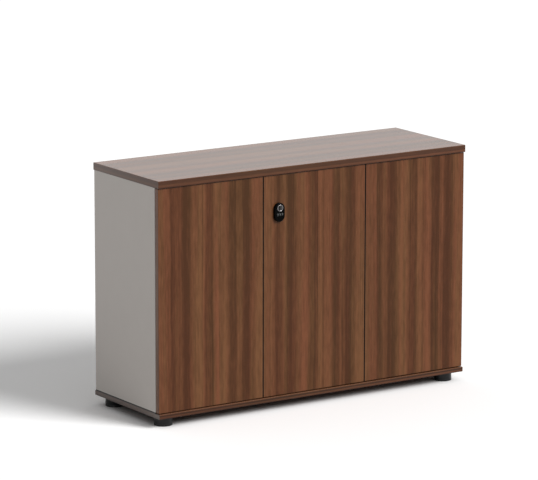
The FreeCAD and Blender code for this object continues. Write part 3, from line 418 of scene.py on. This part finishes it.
top_bands = band_paper("walnut_top_band_", top_low, top_high,
                       (TOP_BAND_FIGURE_LIT, BAND_TONES, 1.30), (TOP_BAND_FIGURE_LIT, BAND_TONES, 1.50))
base_bands = band_paper("walnut_base_band_", base_low, base_high,
                        (BASE_BAND_FIGURE, BAND_TONES, 1.30), (BASE_SIDE_SHADED_FIGURE, SHEEN_TONES, 1.6))
outer_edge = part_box("right_door_edge_bands")[1].x
SEAM_LIMIT = outer_edge - 1.2 * MM
door_bands = [walnut("walnut_door_band_" + axis, axis, "y", 0.0, REPEAT, DOOR_FIGURE, ior=1.4,
                     seam=SEAM_LIMIT) for axis in "xz"]
print("bands", round(1000 * (top_high.z - top_low.z)), "and",
      round(1000 * (base_high.z - base_low.z)), "mm high")

# %% [markdown]
# ## Grey melamine and raw chipboard
#
# The uprights, shelves and backs are plain warm grey. Melamine is pressed against a fine-grained
# plate, so it has a faint orange-peel skin and never a mirror's shine. Its back edges and pin
# holes are left raw: there the chips show. A position test decides which one a point is: the
# skin is only a fraction of a millimetre deep on the board's two faces. Along its foot, where it
# stands on the base, a last position test paints a thin dark band: a painted shade in the joint.

# %% Mix grey board
GREY = paint(198, 191, 185)
# A near-black band at the foot of the grey boards: a painted shade in the joint.
JOINT_SHADE = paint(26, 22, 20)
JOINT_SHADE_TOP = base_high.z + 3.6 * MM
SKIN = 0.3 * MM
PEEL_DEPTH = 0.02 * MM
NOWHERE = -1.0


def grey_board(name, thin, low, high):
    """Grey skin on the two faces of the thin axis, chipboard between them.

    A point is inside where it lies further than the skin from both faces. With low and high both
    NOWHERE no point is inside, so the whole piece is skin.
    """
    mix = Finish(name)
    cloud = mix.noise(mix.stretched(14.0, 14.0, 14.0), 2.0)
    speck = mix.noise(mix.stretched(900.0, 900.0, 900.0), 1.0)
    peel = mix.noise(mix.stretched(420.0, 420.0, 420.0), 2.0)
    shade = mix.maths("ADD", mix.maths("MULTIPLY", cloud, 0.5), mix.maths("MULTIPLY", speck, 0.5))
    skin = mix.colours(shade, [(0.3, tuple(0.965 * c for c in GREY[:3]) + (1.0,)), (0.7, GREY)])
    # Painted shade: close above the base the skin is drawn nearly black.
    skin = mix.blend(mix.maths("LESS_THAN", mix.at["z"], JOINT_SHADE_TOP), skin, JOINT_SHADE)
    chips = mix.node("TexVoronoi", {"Vector": mix.stretched(420.0, 420.0, 420.0), "Scale": 1.0})
    chip = mix.node("SeparateColor", {0: chips.outputs["Color"]}).outputs[0]
    core = mix.colours(chip, [(0.0, paint(112, 84, 56)), (0.55, paint(164, 132, 94)),
                              (1.0, paint(205, 178, 138))])
    inside = mix.maths("MULTIPLY", mix.maths("GREATER_THAN", mix.at[thin], low + SKIN),
                       mix.maths("LESS_THAN", mix.at[thin], high - SKIN))
    rough_core = mix.maths("MULTIPLY", inside, mix.maths("MULTIPLY", chip, 6.0))
    height = mix.maths("ADD", rough_core, peel)
    rough = mix.maths("MULTIPLY_ADD", inside, 0.45, mix.maths("MULTIPLY_ADD", speck, 0.06, 0.38))
    return mix.surface(mix.blend(inside, skin, core), rough, height, PEEL_DEPTH, IOR=1.35)


def board_of(node, thin):
    """Grey board that fits one node."""
    low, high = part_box(node)
    return grey_board("grey_" + node, thin, getattr(low, thin), getattr(high, thin))


grey_band = grey_board("grey_band", "z", NOWHERE, NOWHERE)
print("grey", [round(c, 3) for c in GREY[:3]])

# %% [markdown]
# ## Metals and plastics
#
# Zinc-plated pressings are slightly mottled, nickel is brushed along its length, and the lock's
# ring is polished. The plastics differ in their skins: the lock is glossy, the feet have the fine
# spark-eroded texture of a mould.


# %% Mix metals
METAL_DEPTH = 0.01 * MM


def metal(name, colour, roughness, spread, scale):
    """Bare metal whose roughness drifts by spread, in patches of the given scale."""
    mix = Finish(name)
    patches = mix.noise(mix.stretched(*scale), 3.0)
    rough = mix.rescaled(patches, 0.3, 0.7, roughness - spread, roughness + spread)
    darker = tuple(0.86 * c for c in colour[:3]) + (1.0,)
    tint = mix.blend(mix.rescaled(patches, 0.35, 0.65), darker, colour)
    return mix.surface(tint, rough, patches, METAL_DEPTH, Metallic=1.0)


zinc = metal("zinc_steel", paint(206, 208, 212), 0.36, 0.08, (260.0, 260.0, 260.0))
nickel = metal("nickel_steel", paint(214, 210, 202), 0.24, 0.06, (500.0, 90.0, 900.0))
chrome = metal("polished_ring", paint(146, 142, 142), 0.12, 0.03, (120.0, 120.0, 120.0))
print("metals:", zinc.name, nickel.name, chrome.name)


# %% Mix plastics
def plastic(name, colour, roughness, skin_depth, ior=1.45):
    """Moulded plastic: a fine texture, skin_depth deep in metres, and cloudy wear in its shine."""
    mix = Finish(name)
    skin = mix.noise(mix.stretched(1600.0, 1600.0, 1600.0), 1.0)
    wear = mix.noise(mix.stretched(60.0, 60.0, 60.0), 3.0)
    rough = mix.rescaled(wear, 0.3, 0.7, roughness * 0.85, roughness * 1.2)
    lighter = tuple(min(1.0, 1.12 * c + 0.001) for c in colour[:3]) + (1.0,)
    tint = mix.blend(mix.rescaled(wear, 0.35, 0.65), colour, lighter)
    return mix.surface(tint, rough, skin, skin_depth, IOR=ior)


POLISHED, SATIN, SPARKED = 0.002 * MM, 0.004 * MM, 0.01 * MM
gloss_black = plastic("gloss_black", paint(3, 3, 3), 0.14, POLISHED, 1.10)
turn_black = plastic("turn_black", paint(24, 22, 22), 0.16, POLISHED, 1.6)
dial_black = plastic("dial_black", paint(12, 12, 13), 0.30, SATIN, 1.25)
black_plastic = plastic("black_plastic", paint(8, 9, 11), 0.35, SPARKED, 1.36)
grey_plastic = plastic("grey_plastic", paint(150, 150, 150), 0.40, SPARKED)
pale_print = plastic("pale_print", paint(136, 142, 138), 0.50, SATIN)
print("plastics mixed")

# %% Mix beech for the dowels
beech_mix = Finish("beech")
fibre = beech_mix.noise(beech_mix.stretched(700.0, 700.0, 20.0), 3.0)
BEECH_TONES = [(0.3, paint(186, 148, 104)), (0.7, paint(222, 190, 146))]
beech = beech_mix.surface(beech_mix.colours(fibre, BEECH_TONES), 0.62, fibre, 0.04 * MM)
print("beech mixed")

# %% Give every CAD node its finish
FINISHES = {
    "walnut_board": walnut_board, "walnut_band": walnut_door, "grey_band": grey_band,
    "beech": beech, "zinc_steel": zinc, "nickel_steel": nickel, "chrome_ring": chrome,
    "gloss_black": gloss_black, "dial_black": dial_black, "black_plastic": black_plastic,
    "grey_plastic": grey_plastic,
}
THIN_AXIS = {
    "left_side_panel": "x", "partition": "x", "right_side_panel": "x",
    "left_back_panel": "y", "right_back_panel": "y", "left_shelf": "z", "right_shelf": "z",
}
SLOTS = {part["node"]: part["material_slot"] for part in frame["record"]["subparts"]}

for node, slot in SLOTS.items():
    if node in THIN_AXIS:
        finish = board_of(node, THIN_AXIS[node])
    elif node.endswith("door_panel"):
        finish = walnut_door
    elif node == "top_panel":
        finish = walnut_top
    else:
        finish = FINISHES[slot]
    nodes[node].data.materials.clear()
    nodes[node].data.materials.append(finish)
print(len(SLOTS), "nodes have a finish")

# %% [markdown]
# ## Surfaces from formulas
#
# Every new piece is worked out as one or more grids of points: a section carried along a path, or
# an outline turned about an axis. numpy computes a whole grid at once. Grids that meet are welded
# by merging their doubles, which also closes seams and poles, and the normals are then turned
# outwards once for the whole shell.


# %% Helpers that turn grids into a piece
def read(items, name, width, kind=float):
    """One value of every item of a mesh, such as each vertex's place, as rows of an array."""
    values = np.zeros(len(items) * width, kind)
    items.foreach_get(name, values)
    return values.reshape(-1, width) if width > 1 else values


def sheet(grid, loop_rows, loop_columns, finish=0):
    """One grid as (points, corners of its quads, corners by face, finish number by face)."""
    rows, columns = grid.shape[:2]
    r, c = np.meshgrid(np.arange(rows - (not loop_rows)), np.arange(columns - (not loop_columns)),
                       indexing="ij")
    r1, c1 = (r + 1) % rows, (c + 1) % columns
    quads = np.stack([r * columns + c, r * columns + c1, r1 * columns + c1, r1 * columns + c], -1)
    picks = np.broadcast_to(np.reshape(finish, (-1, 1)), r.shape)
    return grid.reshape(-1, 3), quads.ravel(), np.full(r.size, 4), picks.ravel()


def piece(name, sheets, finishes, crease=35.0):
    """A closed piece from sheets: their doubles are merged and their normals turned outwards."""
    points, corners, sizes, picks = zip(*sheets)
    before = np.cumsum([0] + [len(part) for part in points])
    corners = np.concatenate([part + first for part, first in zip(corners, before)])
    sizes = np.concatenate(sizes)
    mesh = bpy.data.meshes.new(name)
    mesh.vertices.add(before[-1])
    mesh.vertices.foreach_set("co", np.concatenate(points).astype(np.float32).ravel())
    mesh.loops.add(len(corners))
    mesh.loops.foreach_set("vertex_index", corners.astype(np.int32))
    mesh.polygons.add(len(sizes))
    mesh.polygons.foreach_set("loop_start", (np.cumsum(sizes) - sizes).astype(np.int32))
    mesh.polygons.foreach_set("material_index", np.concatenate(picks).astype(np.int32))
    mesh.update(calc_edges=True)
    for finish in finishes:
        mesh.materials.append(finish)
    shell = bmesh.new()
    shell.from_mesh(mesh)
    bmesh.ops.remove_doubles(shell, verts=shell.verts, dist=2e-7)
    bmesh.ops.dissolve_degenerate(shell, edges=shell.edges, dist=2e-7)
    bmesh.ops.recalc_face_normals(shell, faces=shell.faces)
    open_edges = sum(not edge.is_manifold for edge in shell.edges)
    shell.to_mesh(mesh)
    shell.free()
    mesh.polygons.foreach_set("use_smooth", np.ones(len(mesh.polygons), bool))
    mesh.set_sharp_from_angle(angle=radians(crease))
    made = bpy.data.objects.new(name, mesh)
    bpy.context.scene.collection.objects.link(made)
    print(f"{name}: {len(mesh.polygons)} faces, {open_edges} open edges")
    return made


def stand_for(made, body, slot, *replaced):
    """The piece rides on a body and stands for the nodes, which it hides; slot is not used."""
    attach(made, body)
    if replaced:
        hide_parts(*replaced)
    return made


print("a 3 by 4 grid has", len(sheet(np.zeros((3, 4, 3)), False, False)[2]), "quads")

# %% [markdown]
# ## Rounded edge bands
#
# A band is a strip of plastic one millimetre thick, glued on and then trimmed, and the trimmer
# leaves its outer corners rounded. That tiny radius is what draws the thin light line along a
# board's edge. A Bevel modifier on the solid could give it, but the four strips meet at the
# corners, so one section carried round the whole board is cleaner.

# %% Carry a band round a board
BAND_ROUND = 0.8 * MM
SUPPORT = 0.25 * MM


def band_section(depth, height):
    """The band's section as (outward, up) pairs: a rectangle whose outer corners are arcs.

    A corner's arc is centre + radius * (cos a, sin a); a support point just past each arc keeps
    the shading of the long flat side flat.
    """
    r = min(BAND_ROUND, depth * 0.8)
    quarter = np.linspace(0.0, pi / 2, 6)
    low = np.stack([depth - r + r * np.sin(quarter), r - r * np.cos(quarter)], 1)
    high = np.stack([depth - r + r * np.cos(quarter), height - r + r * np.sin(quarter)], 1)
    flat = [[depth, r + SUPPORT], [depth, height - r - SUPPORT]]
    return np.concatenate([[[0.0, 0.0]], low, flat, high, [[0.0, height]]])


def rim(name, node, thin, finishes):
    """A band carried round a board.

    point = core corner + (cos a, sin a) * outward + thin axis * up, where a turns by a quarter
    at each corner, so that the band goes round it in a small arc.
    """
    low, high = (np.array(corner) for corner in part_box(node))
    first, second = [axis for axis in range(3) if axis != thin]
    section = band_section(MM, high[thin] - low[thin])
    angle = (np.arange(4)[:, None] * pi / 2 + np.linspace(0.0, pi / 2, 6)).ravel()
    corner = np.repeat([[1, 1], [0, 1], [0, 0], [1, 0]], 6, axis=0)
    core = np.where(corner, (high - MM)[[first, second]], (low + MM)[[first, second]])
    grid = np.zeros((len(angle), len(section), 3))
    grid[..., first] = core[:, :1] + np.cos(angle)[:, None] * section[:, 0]
    grid[..., second] = core[:, 1:] + np.sin(angle)[:, None] * section[:, 0]
    grid[..., thin] = low[thin] + section[:, 1]
    runs_along_second = (np.abs(np.cos(angle)) > np.abs(np.sin(angle))).astype(int)
    return piece(name, [sheet(grid, True, True, runs_along_second)], finishes)


for board, bands in (("top", top_bands), ("base", base_bands)):
    node = board + "_edge_bands"
    stand_for(rim(board + "_rim", node, 2, bands), "carcase", "walnut_band", node)
for side in ("left", "middle", "right"):
    node = side + "_door_edge_bands"
    stand_for(rim(side + "_door_rim", node, 1, door_bands), side + "_door", "walnut_band", node)

# %% [markdown]
# ## Bands on uprights and shelves
#
# Only the front edges of these boards are banded. The strip is the same section, carried straight
# from end to end and closed there. One CAD node holds several strips, so its loose triangles are
# first sorted into separate solids, and each solid's own box gives a strip its place.


# %% Sort a node into its solids
def solids_of(node):
    """The corner points of each separate solid of a CAD node, as a list of arrays.

    Points at one place share a number, and along every edge the lower number wins, over and over
    until nothing changes; then each solid has one number of its own.
    """
    points = read(nodes[node].data.vertices, "co", 3)
    _, same = np.unique(points.round(6), axis=0, return_inverse=True)
    same = same.ravel()
    ends = same[read(nodes[node].data.edges, "vertices", 2, np.int32)]
    number, before = np.arange(same.max() + 1), None
    while before is None or (number != before).any():
        before = number.copy()
        np.minimum.at(number, ends, before[ends].min(1, keepdims=True))
        number = number[number]
    number = number[same]
    found = [points[number == solid] for solid in np.unique(number)]
    return sorted(found, key=lambda solid: tuple(solid.mean(0).round(4)))


print("upright_edge_bands holds", len(solids_of("upright_edge_bands")), "solids")


# %% Make straight bands
def straight_band(points, run, up):
    """One strip that runs along an axis and faces forward.

    point = (along run, front - outward, along up); the end rows are the section's middle.
    """
    low, high = points.min(0), points.max(0)
    section = band_section(high[1] - low[1], high[up] - low[up])
    middle = np.broadcast_to(section.mean(0), section.shape)
    rows = np.stack([middle, section, section, middle])
    grid = np.zeros(rows.shape[:2] + (3,))
    grid[..., run] = np.array([low[run], low[run], high[run], high[run]])[:, None]
    grid[..., 1] = high[1] - rows[..., 0]
    grid[..., up] = low[up] + rows[..., 1]
    return sheet(grid, False, True)


for name, node, run, up in (("upright_bands", "upright_edge_bands", 2, 0),
                            ("shelf_bands", "shelf_edge_bands", 0, 2)):
    strips = [straight_band(points, run, up) for points in solids_of(node)]
    stand_for(piece(name, strips, [grey_band]), "carcase", "grey_band", node)

# %% [markdown]
# ## Screws
#
# Behind the doors some thirty screws hold hinges, bolt, strike and latch. Each is a pan head with
# a pressed cross. The head is a turned outline whose top is lowered where the cross is, so one
# grid of radius by angle gives both; cutting the cross with a Boolean would cost more and leave
# long thin faces.

# %% Turn outlines about an axis
TURNS = 48


def turned(radius, height, turns=TURNS):
    """An outline turned about Z: (r cos a, r sin a, h), with h for each radius, or each point."""
    angle = np.arange(turns) * tau / turns
    radius = np.asarray(radius, float)[:, None]
    height = np.broadcast_to(np.asarray(height, float).reshape(len(radius), -1),
                             (len(radius), turns))
    return np.stack([radius * np.cos(angle), radius * np.sin(angle), height], -1)


def aimed(points, start, axis):
    """The points, turned so that Z lies along the axis, and moved to start."""
    turn = np.array(Vector(axis).to_track_quat("Z", "Y").to_matrix())
    return points @ turn.T + np.asarray(start)


def smooth_step(value):
    """0 below 0, 1 above 1, and 3 v^2 - 2 v^3 between."""
    v = np.clip(value, 0.0, 1.0)
    return v * v * (3 - 2 * v)


def cross_recess(radius, size):
    """How deep the cross is at each radius and angle: two bars that fade at their sides."""
    angle = np.arange(TURNS) * tau / TURNS
    x = np.abs(np.asarray(radius)[:, None] * np.cos(angle))
    y = np.abs(np.asarray(radius)[:, None] * np.sin(angle))

    def bar(across, along):
        """1 on a bar and 0 off it, fading at its two sides and its two ends."""
        return (smooth_step((0.22 * size - across) / (0.1 * size))
                * smooth_step((0.66 * size - along) / (0.16 * size)))

    return 0.3 * size * np.maximum(bar(y, x), bar(x, y))


print("a turned ring of 2 points has shape", turned([1.0, 1.0], [0.0, 1.0]).shape)


# %% Make one screw from its solid
HEAD_HEIGHT = 1.2 * MM
DOME_FALL = 0.35 * MM


def screw(points):
    """A pan-head screw in place of a CAD screw.

    Its box gives the length and the axis, and the points' reach from that axis gives the head and
    the shank. The dome falls with the cube of the radius; the head's side is a quarter arc.
    """
    low, high = points.min(0), points.max(0)
    axis = int(np.argmax(high - low))
    centre = (low + high) / 2
    across = np.delete(points - centre, axis, axis=1)
    reach = np.hypot(*across.T)
    head = reach.max()
    head_side = np.sign((points[reach > 0.95 * head][:, axis] - centre[axis]).mean())
    shank = reach[(points[:, axis] - centre[axis]) * head_side < 0].max()
    length = high[axis] - low[axis]
    direction = np.zeros(3)
    direction[axis] = head_side
    end = centre - direction * length / 2
    top = np.linspace(0.0, 0.9, 10) * head
    dome = length - DOME_FALL * (top / head) ** 3
    cap = turned(top, dome[:, None] - cross_recess(top, head))
    rim_angle = np.linspace(0.2, pi / 2, 4)
    side = turned(0.9 * head + 0.1 * head * np.sin(rim_angle),
                  length - DOME_FALL - 0.3 * MM * (1 - np.cos(rim_angle)))
    under = length - HEAD_HEIGHT
    body = turned([head, shank, shank, 0.0], [under, under, 1.5 * shank, 0.0])
    grid = np.concatenate([cap, side, body])
    return sheet(aimed(grid, end, direction), False, True)


for body in ("carcase", "left_door", "middle_door", "right_door"):
    node = body + "_screws"
    screws = [screw(points) for points in solids_of(node)]
    stand_for(piece(node + "_crossed", screws, [FINISHES[SLOTS[node]]]), body, SLOTS[node], node)
    print(len(screws), "screws on the", body)

# %% [markdown]
# ## The lock's ring and thumb turn
#
# The lock is turned by a small grip inside a bright ring. The ring is a rounded section carried
# round the knob's axis. The grip stands on a dished disc, and both are one height field on rings
# and angles: the dish falls towards the middle, and the grip is a smooth ridge across it.

# %% Make the ring
ring_low, ring_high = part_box("knob_ring")
knob_low, knob_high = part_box("lock_knob")
KNOB_AXIS = np.array([(ring_low.x + ring_high.x) / 2, 0.0, (ring_low.z + ring_high.z) / 2])
FORWARD = (0.0, -1.0, 0.0)
LOCK_TURNS = 96
ring_outer = (ring_high.x - ring_low.x) / 2
knob_outer = 8.6 * MM
ring_back = np.array([KNOB_AXIS[0], ring_high.y, KNOB_AXIS[2]])
ring_height = ring_high.y - ring_low.y


def bezel(outer, inner, height):
    """The ring's section, closed: two walls joined by a rounded crown.

    The crown is centre + (half width * cos a, crown height * (sin a)^0.8), for a from 0 to 180
    degrees; the power below 1 makes it a little fuller than an ellipse.
    """
    half, crown = (outer - inner) / 2, 0.45 * height
    a = np.linspace(0.0, pi, 15)
    radius = np.concatenate([[inner, outer], (outer + inner) / 2 + half * np.cos(a)])
    rise = np.concatenate([[0.0, 0.0], height - crown + crown * np.sin(a) ** 0.8])
    return turned(radius, rise, LOCK_TURNS)


ring_grid = aimed(bezel(ring_outer, knob_outer + 0.05 * MM, ring_height), ring_back, FORWARD)
stand_for(piece("bright_ring", [sheet(ring_grid, True, True)], [chrome]), "knob", "chrome_ring",
          "knob_ring")


# %% Make the thumb turn
GRIP_HALF = 2.0 * MM
DISH = 0.5 * MM
DISC_FRONT = 2.4 * MM


def thumb_turn(outer, disc, full):
    """A disc with a ridge across it, seen from in front.

    height = dished disc + (full - dished disc) * ridge, where the dished disc is disc
    - DISH * (1 - (r / outer)^2), and the ridge is the product of two smooth steps, one across
    the grip and one towards its ends. The last two rings round the disc's edge over.
    """
    a = np.arange(LOCK_TURNS) * tau / LOCK_TURNS
    r = np.concatenate([np.linspace(0.0, 0.96, 26), [0.985, 1.0]]) * outer
    x, z = np.abs(r[:, None] * np.cos(a)), np.abs(r[:, None] * np.sin(a))
    ridge = (smooth_step((GRIP_HALF - x) / (0.7 * MM))
             * smooth_step((0.80 * outer - z) / (0.12 * outer)))
    dish = DISH * (1 - (r[:, None] / outer) ** 2)
    height = disc - dish + (full - disc + dish) * ridge
    height[-2:] = [[disc - 0.03 * MM], [disc - 0.2 * MM]]
    top = turned(r, height, LOCK_TURNS)
    return np.concatenate([top, turned([outer, 0.0], [0.0, 0.0], LOCK_TURNS)])


knob_back = np.array([KNOB_AXIS[0], knob_high.y, KNOB_AXIS[2]])
knob_grid = thumb_turn(knob_outer, DISC_FRONT, knob_high.y - knob_low.y)
knob_grid = aimed(knob_grid, knob_back, FORWARD)
stand_for(piece("thumb_turn", [sheet(knob_grid, False, True)], [turn_black]), "knob",
          "gloss_black", "lock_knob")

# %% [markdown]
# ## Number wheels
#
# Three wheels show through the lock's face. Each has ten flats with a number on every flat. Its
# outline is that of a ten-sided drum: the radius is the flat's distance over the cosine of the
# angle from the flat's middle. Numbers are generic, and they are built as thin raised prints, so
# they turn with the wheel. Wrapping a picture round a cylinder would do, but it would blur.

# %% Make the drums and their numbers
FLATS = 10
DIGIT_HEIGHT = 2.7 * MM
CAPITAL_SHARE = 0.73
PRINT_HALF = 0.04 * MM
WHEEL_BORE = 1.05 * MM
WHEEL_BEVEL = 0.35 * MM


def drum(width, outer, bore):
    """A ten-sided drum along Z, bored: flat / cos(angle from the flat's middle), at most outer."""
    steps = FLATS * 8
    a = np.arange(steps) * tau / steps
    flat = outer * 0.955
    from_middle = (a + pi / FLATS) % (tau / FLATS) - pi / FLATS
    edge = np.minimum(flat / np.cos(from_middle), outer)
    hole, shoulder = np.full(steps, bore), edge - WHEEL_BEVEL
    radius = np.stack([hole, shoulder, edge, edge, shoulder, hole])
    height = np.array([0.0, 0.0, WHEEL_BEVEL, width - WHEEL_BEVEL, width, width])[:, None]
    grid = np.stack([radius * np.cos(a), radius * np.sin(a),
                     np.broadcast_to(height, radius.shape)], -1)
    return grid, flat


def digit(text):
    """One number as a thin solid in the XY plane, centred: (points, corners, corners by face).

    A number stands CAPITAL_SHARE of the type's size high, so the size is its height over that.
    """
    curve = bpy.data.curves.new("digit", "FONT")
    curve.body, curve.size = text, DIGIT_HEIGHT / CAPITAL_SHARE
    curve.extrude, curve.resolution_u = PRINT_HALF, 3
    holder = bpy.data.objects.new("digit", curve)
    bpy.context.scene.collection.objects.link(holder)
    bpy.context.view_layer.update()
    mesh = bpy.data.meshes.new_from_object(holder.evaluated_get(
        bpy.context.evaluated_depsgraph_get()))
    bpy.data.objects.remove(holder)
    points = read(mesh.vertices, "co", 3)
    points -= (points.min(0) + points.max(0)) / 2
    corners = read(mesh.loops, "vertex_index", 1, np.int32)
    sizes = read(mesh.polygons, "loop_total", 1, np.int32)
    bpy.data.meshes.remove(mesh)
    return points, corners, sizes


DIGITS = [digit(str(number)) for number in range(FLATS)]
print("a nought has", len(DIGITS[0][0]), "points")


# %% Join numbers to each wheel
def dial_wheel(name, node):
    """A drum with ten numbers, in place of one CAD wheel; the nought faces forward.

    A number's point = centre + x along the axle + y upwards + (flat + z) outwards, where up and
    out turn by a tenth of a circle from one number to the next.
    """
    low, high = (np.array(corner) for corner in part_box(node))
    centre, width, outer = (low + high) / 2, high[0] - low[0], (high[2] - low[2]) / 2
    grid, flat = drum(width, outer, WHEEL_BORE)
    to_row = np.stack([grid[..., 2] - width / 2, grid[..., 0], grid[..., 1]], -1) + centre
    sheets = [sheet(to_row, True, True)]
    for number, (points, corners, sizes) in enumerate(DIGITS):
        a = pi + number * tau / FLATS
        turn = np.array([[1.0, 0.0, 0.0],
                         [0.0, np.sin(a), -np.cos(a)],
                         [0.0, np.cos(a), np.sin(a)]])
        placed = centre + (points + [0.0, 0.0, flat]) @ turn
        sheets.append((placed, corners, sizes, np.ones(len(sizes), int)))
    return piece(name, sheets, [dial_black, pale_print])


for number in (1, 2, 3):
    node = f"number_wheel_{number}"
    stand_for(dial_wheel(f"dial_wheel_{number}", node), f"wheel_{number}", "dial_black", node)

# %% [markdown]
# ## Latch spring
#
# Behind the push latch's plunger sits a small coil spring, and it shortens as the plunger goes
# in. A rigid copy would cut into the plunger. The coil is swept from a formula and given a mesh of
# its own. Blender's Screw modifier winds coils too, but it leaves their two ends open.

# %% Wind the spring
WIRE = 0.4 * MM
COILS = 5


def wound(low, high, wire, coils, steps=40, around=12):
    """A round wire wound along Y.

    centre = axis + radius * outward(angle), moving evenly along Y; a point of the wire is
    centre + wire * (cos s * outward + sin s * across), and across is square to both outward
    and the wire's run. The first and last rings shrink to a point and close the ends.
    """
    angle = np.linspace(0.0, tau * coils, coils * steps + 1)
    outward = np.stack([np.cos(angle), np.zeros_like(angle), np.sin(angle)], 1)
    centre = np.array((low + high) / 2) + ((high.x - low.x) / 2 - wire) * outward
    centre[:, 1] = np.linspace(low.y + wire, high.y - wire, len(angle))
    run = np.gradient(centre, axis=0)
    across = np.cross(run / np.linalg.norm(run, axis=1)[:, None], outward)
    ring = np.arange(around) * tau / around
    spoke = (np.cos(ring)[:, None] * outward[:, None] + np.sin(ring)[:, None] * across[:, None])
    grid = centre[:, None] + wire * spoke
    ends = [np.repeat(centre[[end], None], around, 1) for end in (0, -1)]
    return np.concatenate([ends[0], grid, ends[1]])


spring_low, spring_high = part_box("latch_spring")
coil = wound(spring_low, spring_high, WIRE, COILS)
spring = stand_for(piece("coil_spring", [sheet(coil, False, True)], [zinc]), "carcase",
                   "zinc_steel", "latch_spring")
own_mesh(spring)

# %% [markdown]
# ## Levelling feet
#
# Each corner stands on a moulded disc on a threaded stem. The disc is turned from an outline: a
# soft pad underneath, a rounded lower edge, a groove that parts pad and body, a slightly tapered
# wall and a rounded shoulder. The stem's thread is a ripple of its radius.

# %% Turn the feet
DISC_TOP = 29.0 * MM
STEM = 5.0 * MM
THREAD_PITCH = 1.5 * MM
THREAD_DEPTH = 0.35 * MM


def foot_outline(outer, disc, full, stem):
    """(radius, height) from the middle of the pad, up the wall, over the top and up the stem.

    Rounded corners are quarter arcs of radius low and high. The groove's points are given as
    (depth into the wall, height) in millimetres. The thread is stem radius - depth *
    sin^2(180 degrees * height / pitch).
    """
    quarter = np.linspace(0.0, pi / 2, 7)
    low, high = 1.2 * MM, 1.6 * MM
    wall = outer - 0.5 * MM
    groove = [(0.0, 6.2), (0.1, 6.6), (0.7, 6.8), (0.7, 7.4), (0.15, 7.6), (0.05, 8.0)]
    rows = [(0.0, 0.0), (outer - low - 1.0 * MM, 0.0)]
    rows += [(outer - low + low * np.sin(a), low - low * np.cos(a)) for a in quarter]
    rows += [(outer - inwards * MM, up * MM) for inwards, up in groove]
    rows += [(wall, disc - high - 0.4 * MM)]
    rows += [(wall - high + high * np.cos(a), disc - high + high * np.sin(a)) for a in quarter]
    rows += [(stem + 6.0 * MM, disc), (stem + 5.0 * MM, disc - 0.8 * MM), (stem, disc - 0.8 * MM)]
    thread = np.linspace(disc - 0.6 * MM, full - 0.8 * MM, 60)
    ripple = THREAD_DEPTH * np.sin(pi * (thread - disc) / THREAD_PITCH) ** 2
    rows += list(zip(stem - ripple, thread))
    rows += [(stem - 0.7 * MM, full), (0.0, full)]
    return np.array(rows)


for name in ("front_left_foot", "front_right_foot", "back_left_foot", "back_right_foot"):
    low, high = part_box(name)
    outline = foot_outline((high.x - low.x) / 2, DISC_TOP, high.z, STEM)
    grid = turned(outline[:, 0], outline[:, 1], 72)
    grid = grid + [(low.x + high.x) / 2, (low.y + high.y) / 2, 0.0]
    stand_for(piece(name + "_disc", [sheet(grid, False, True)], [black_plastic]), name,
              "black_plastic", name)
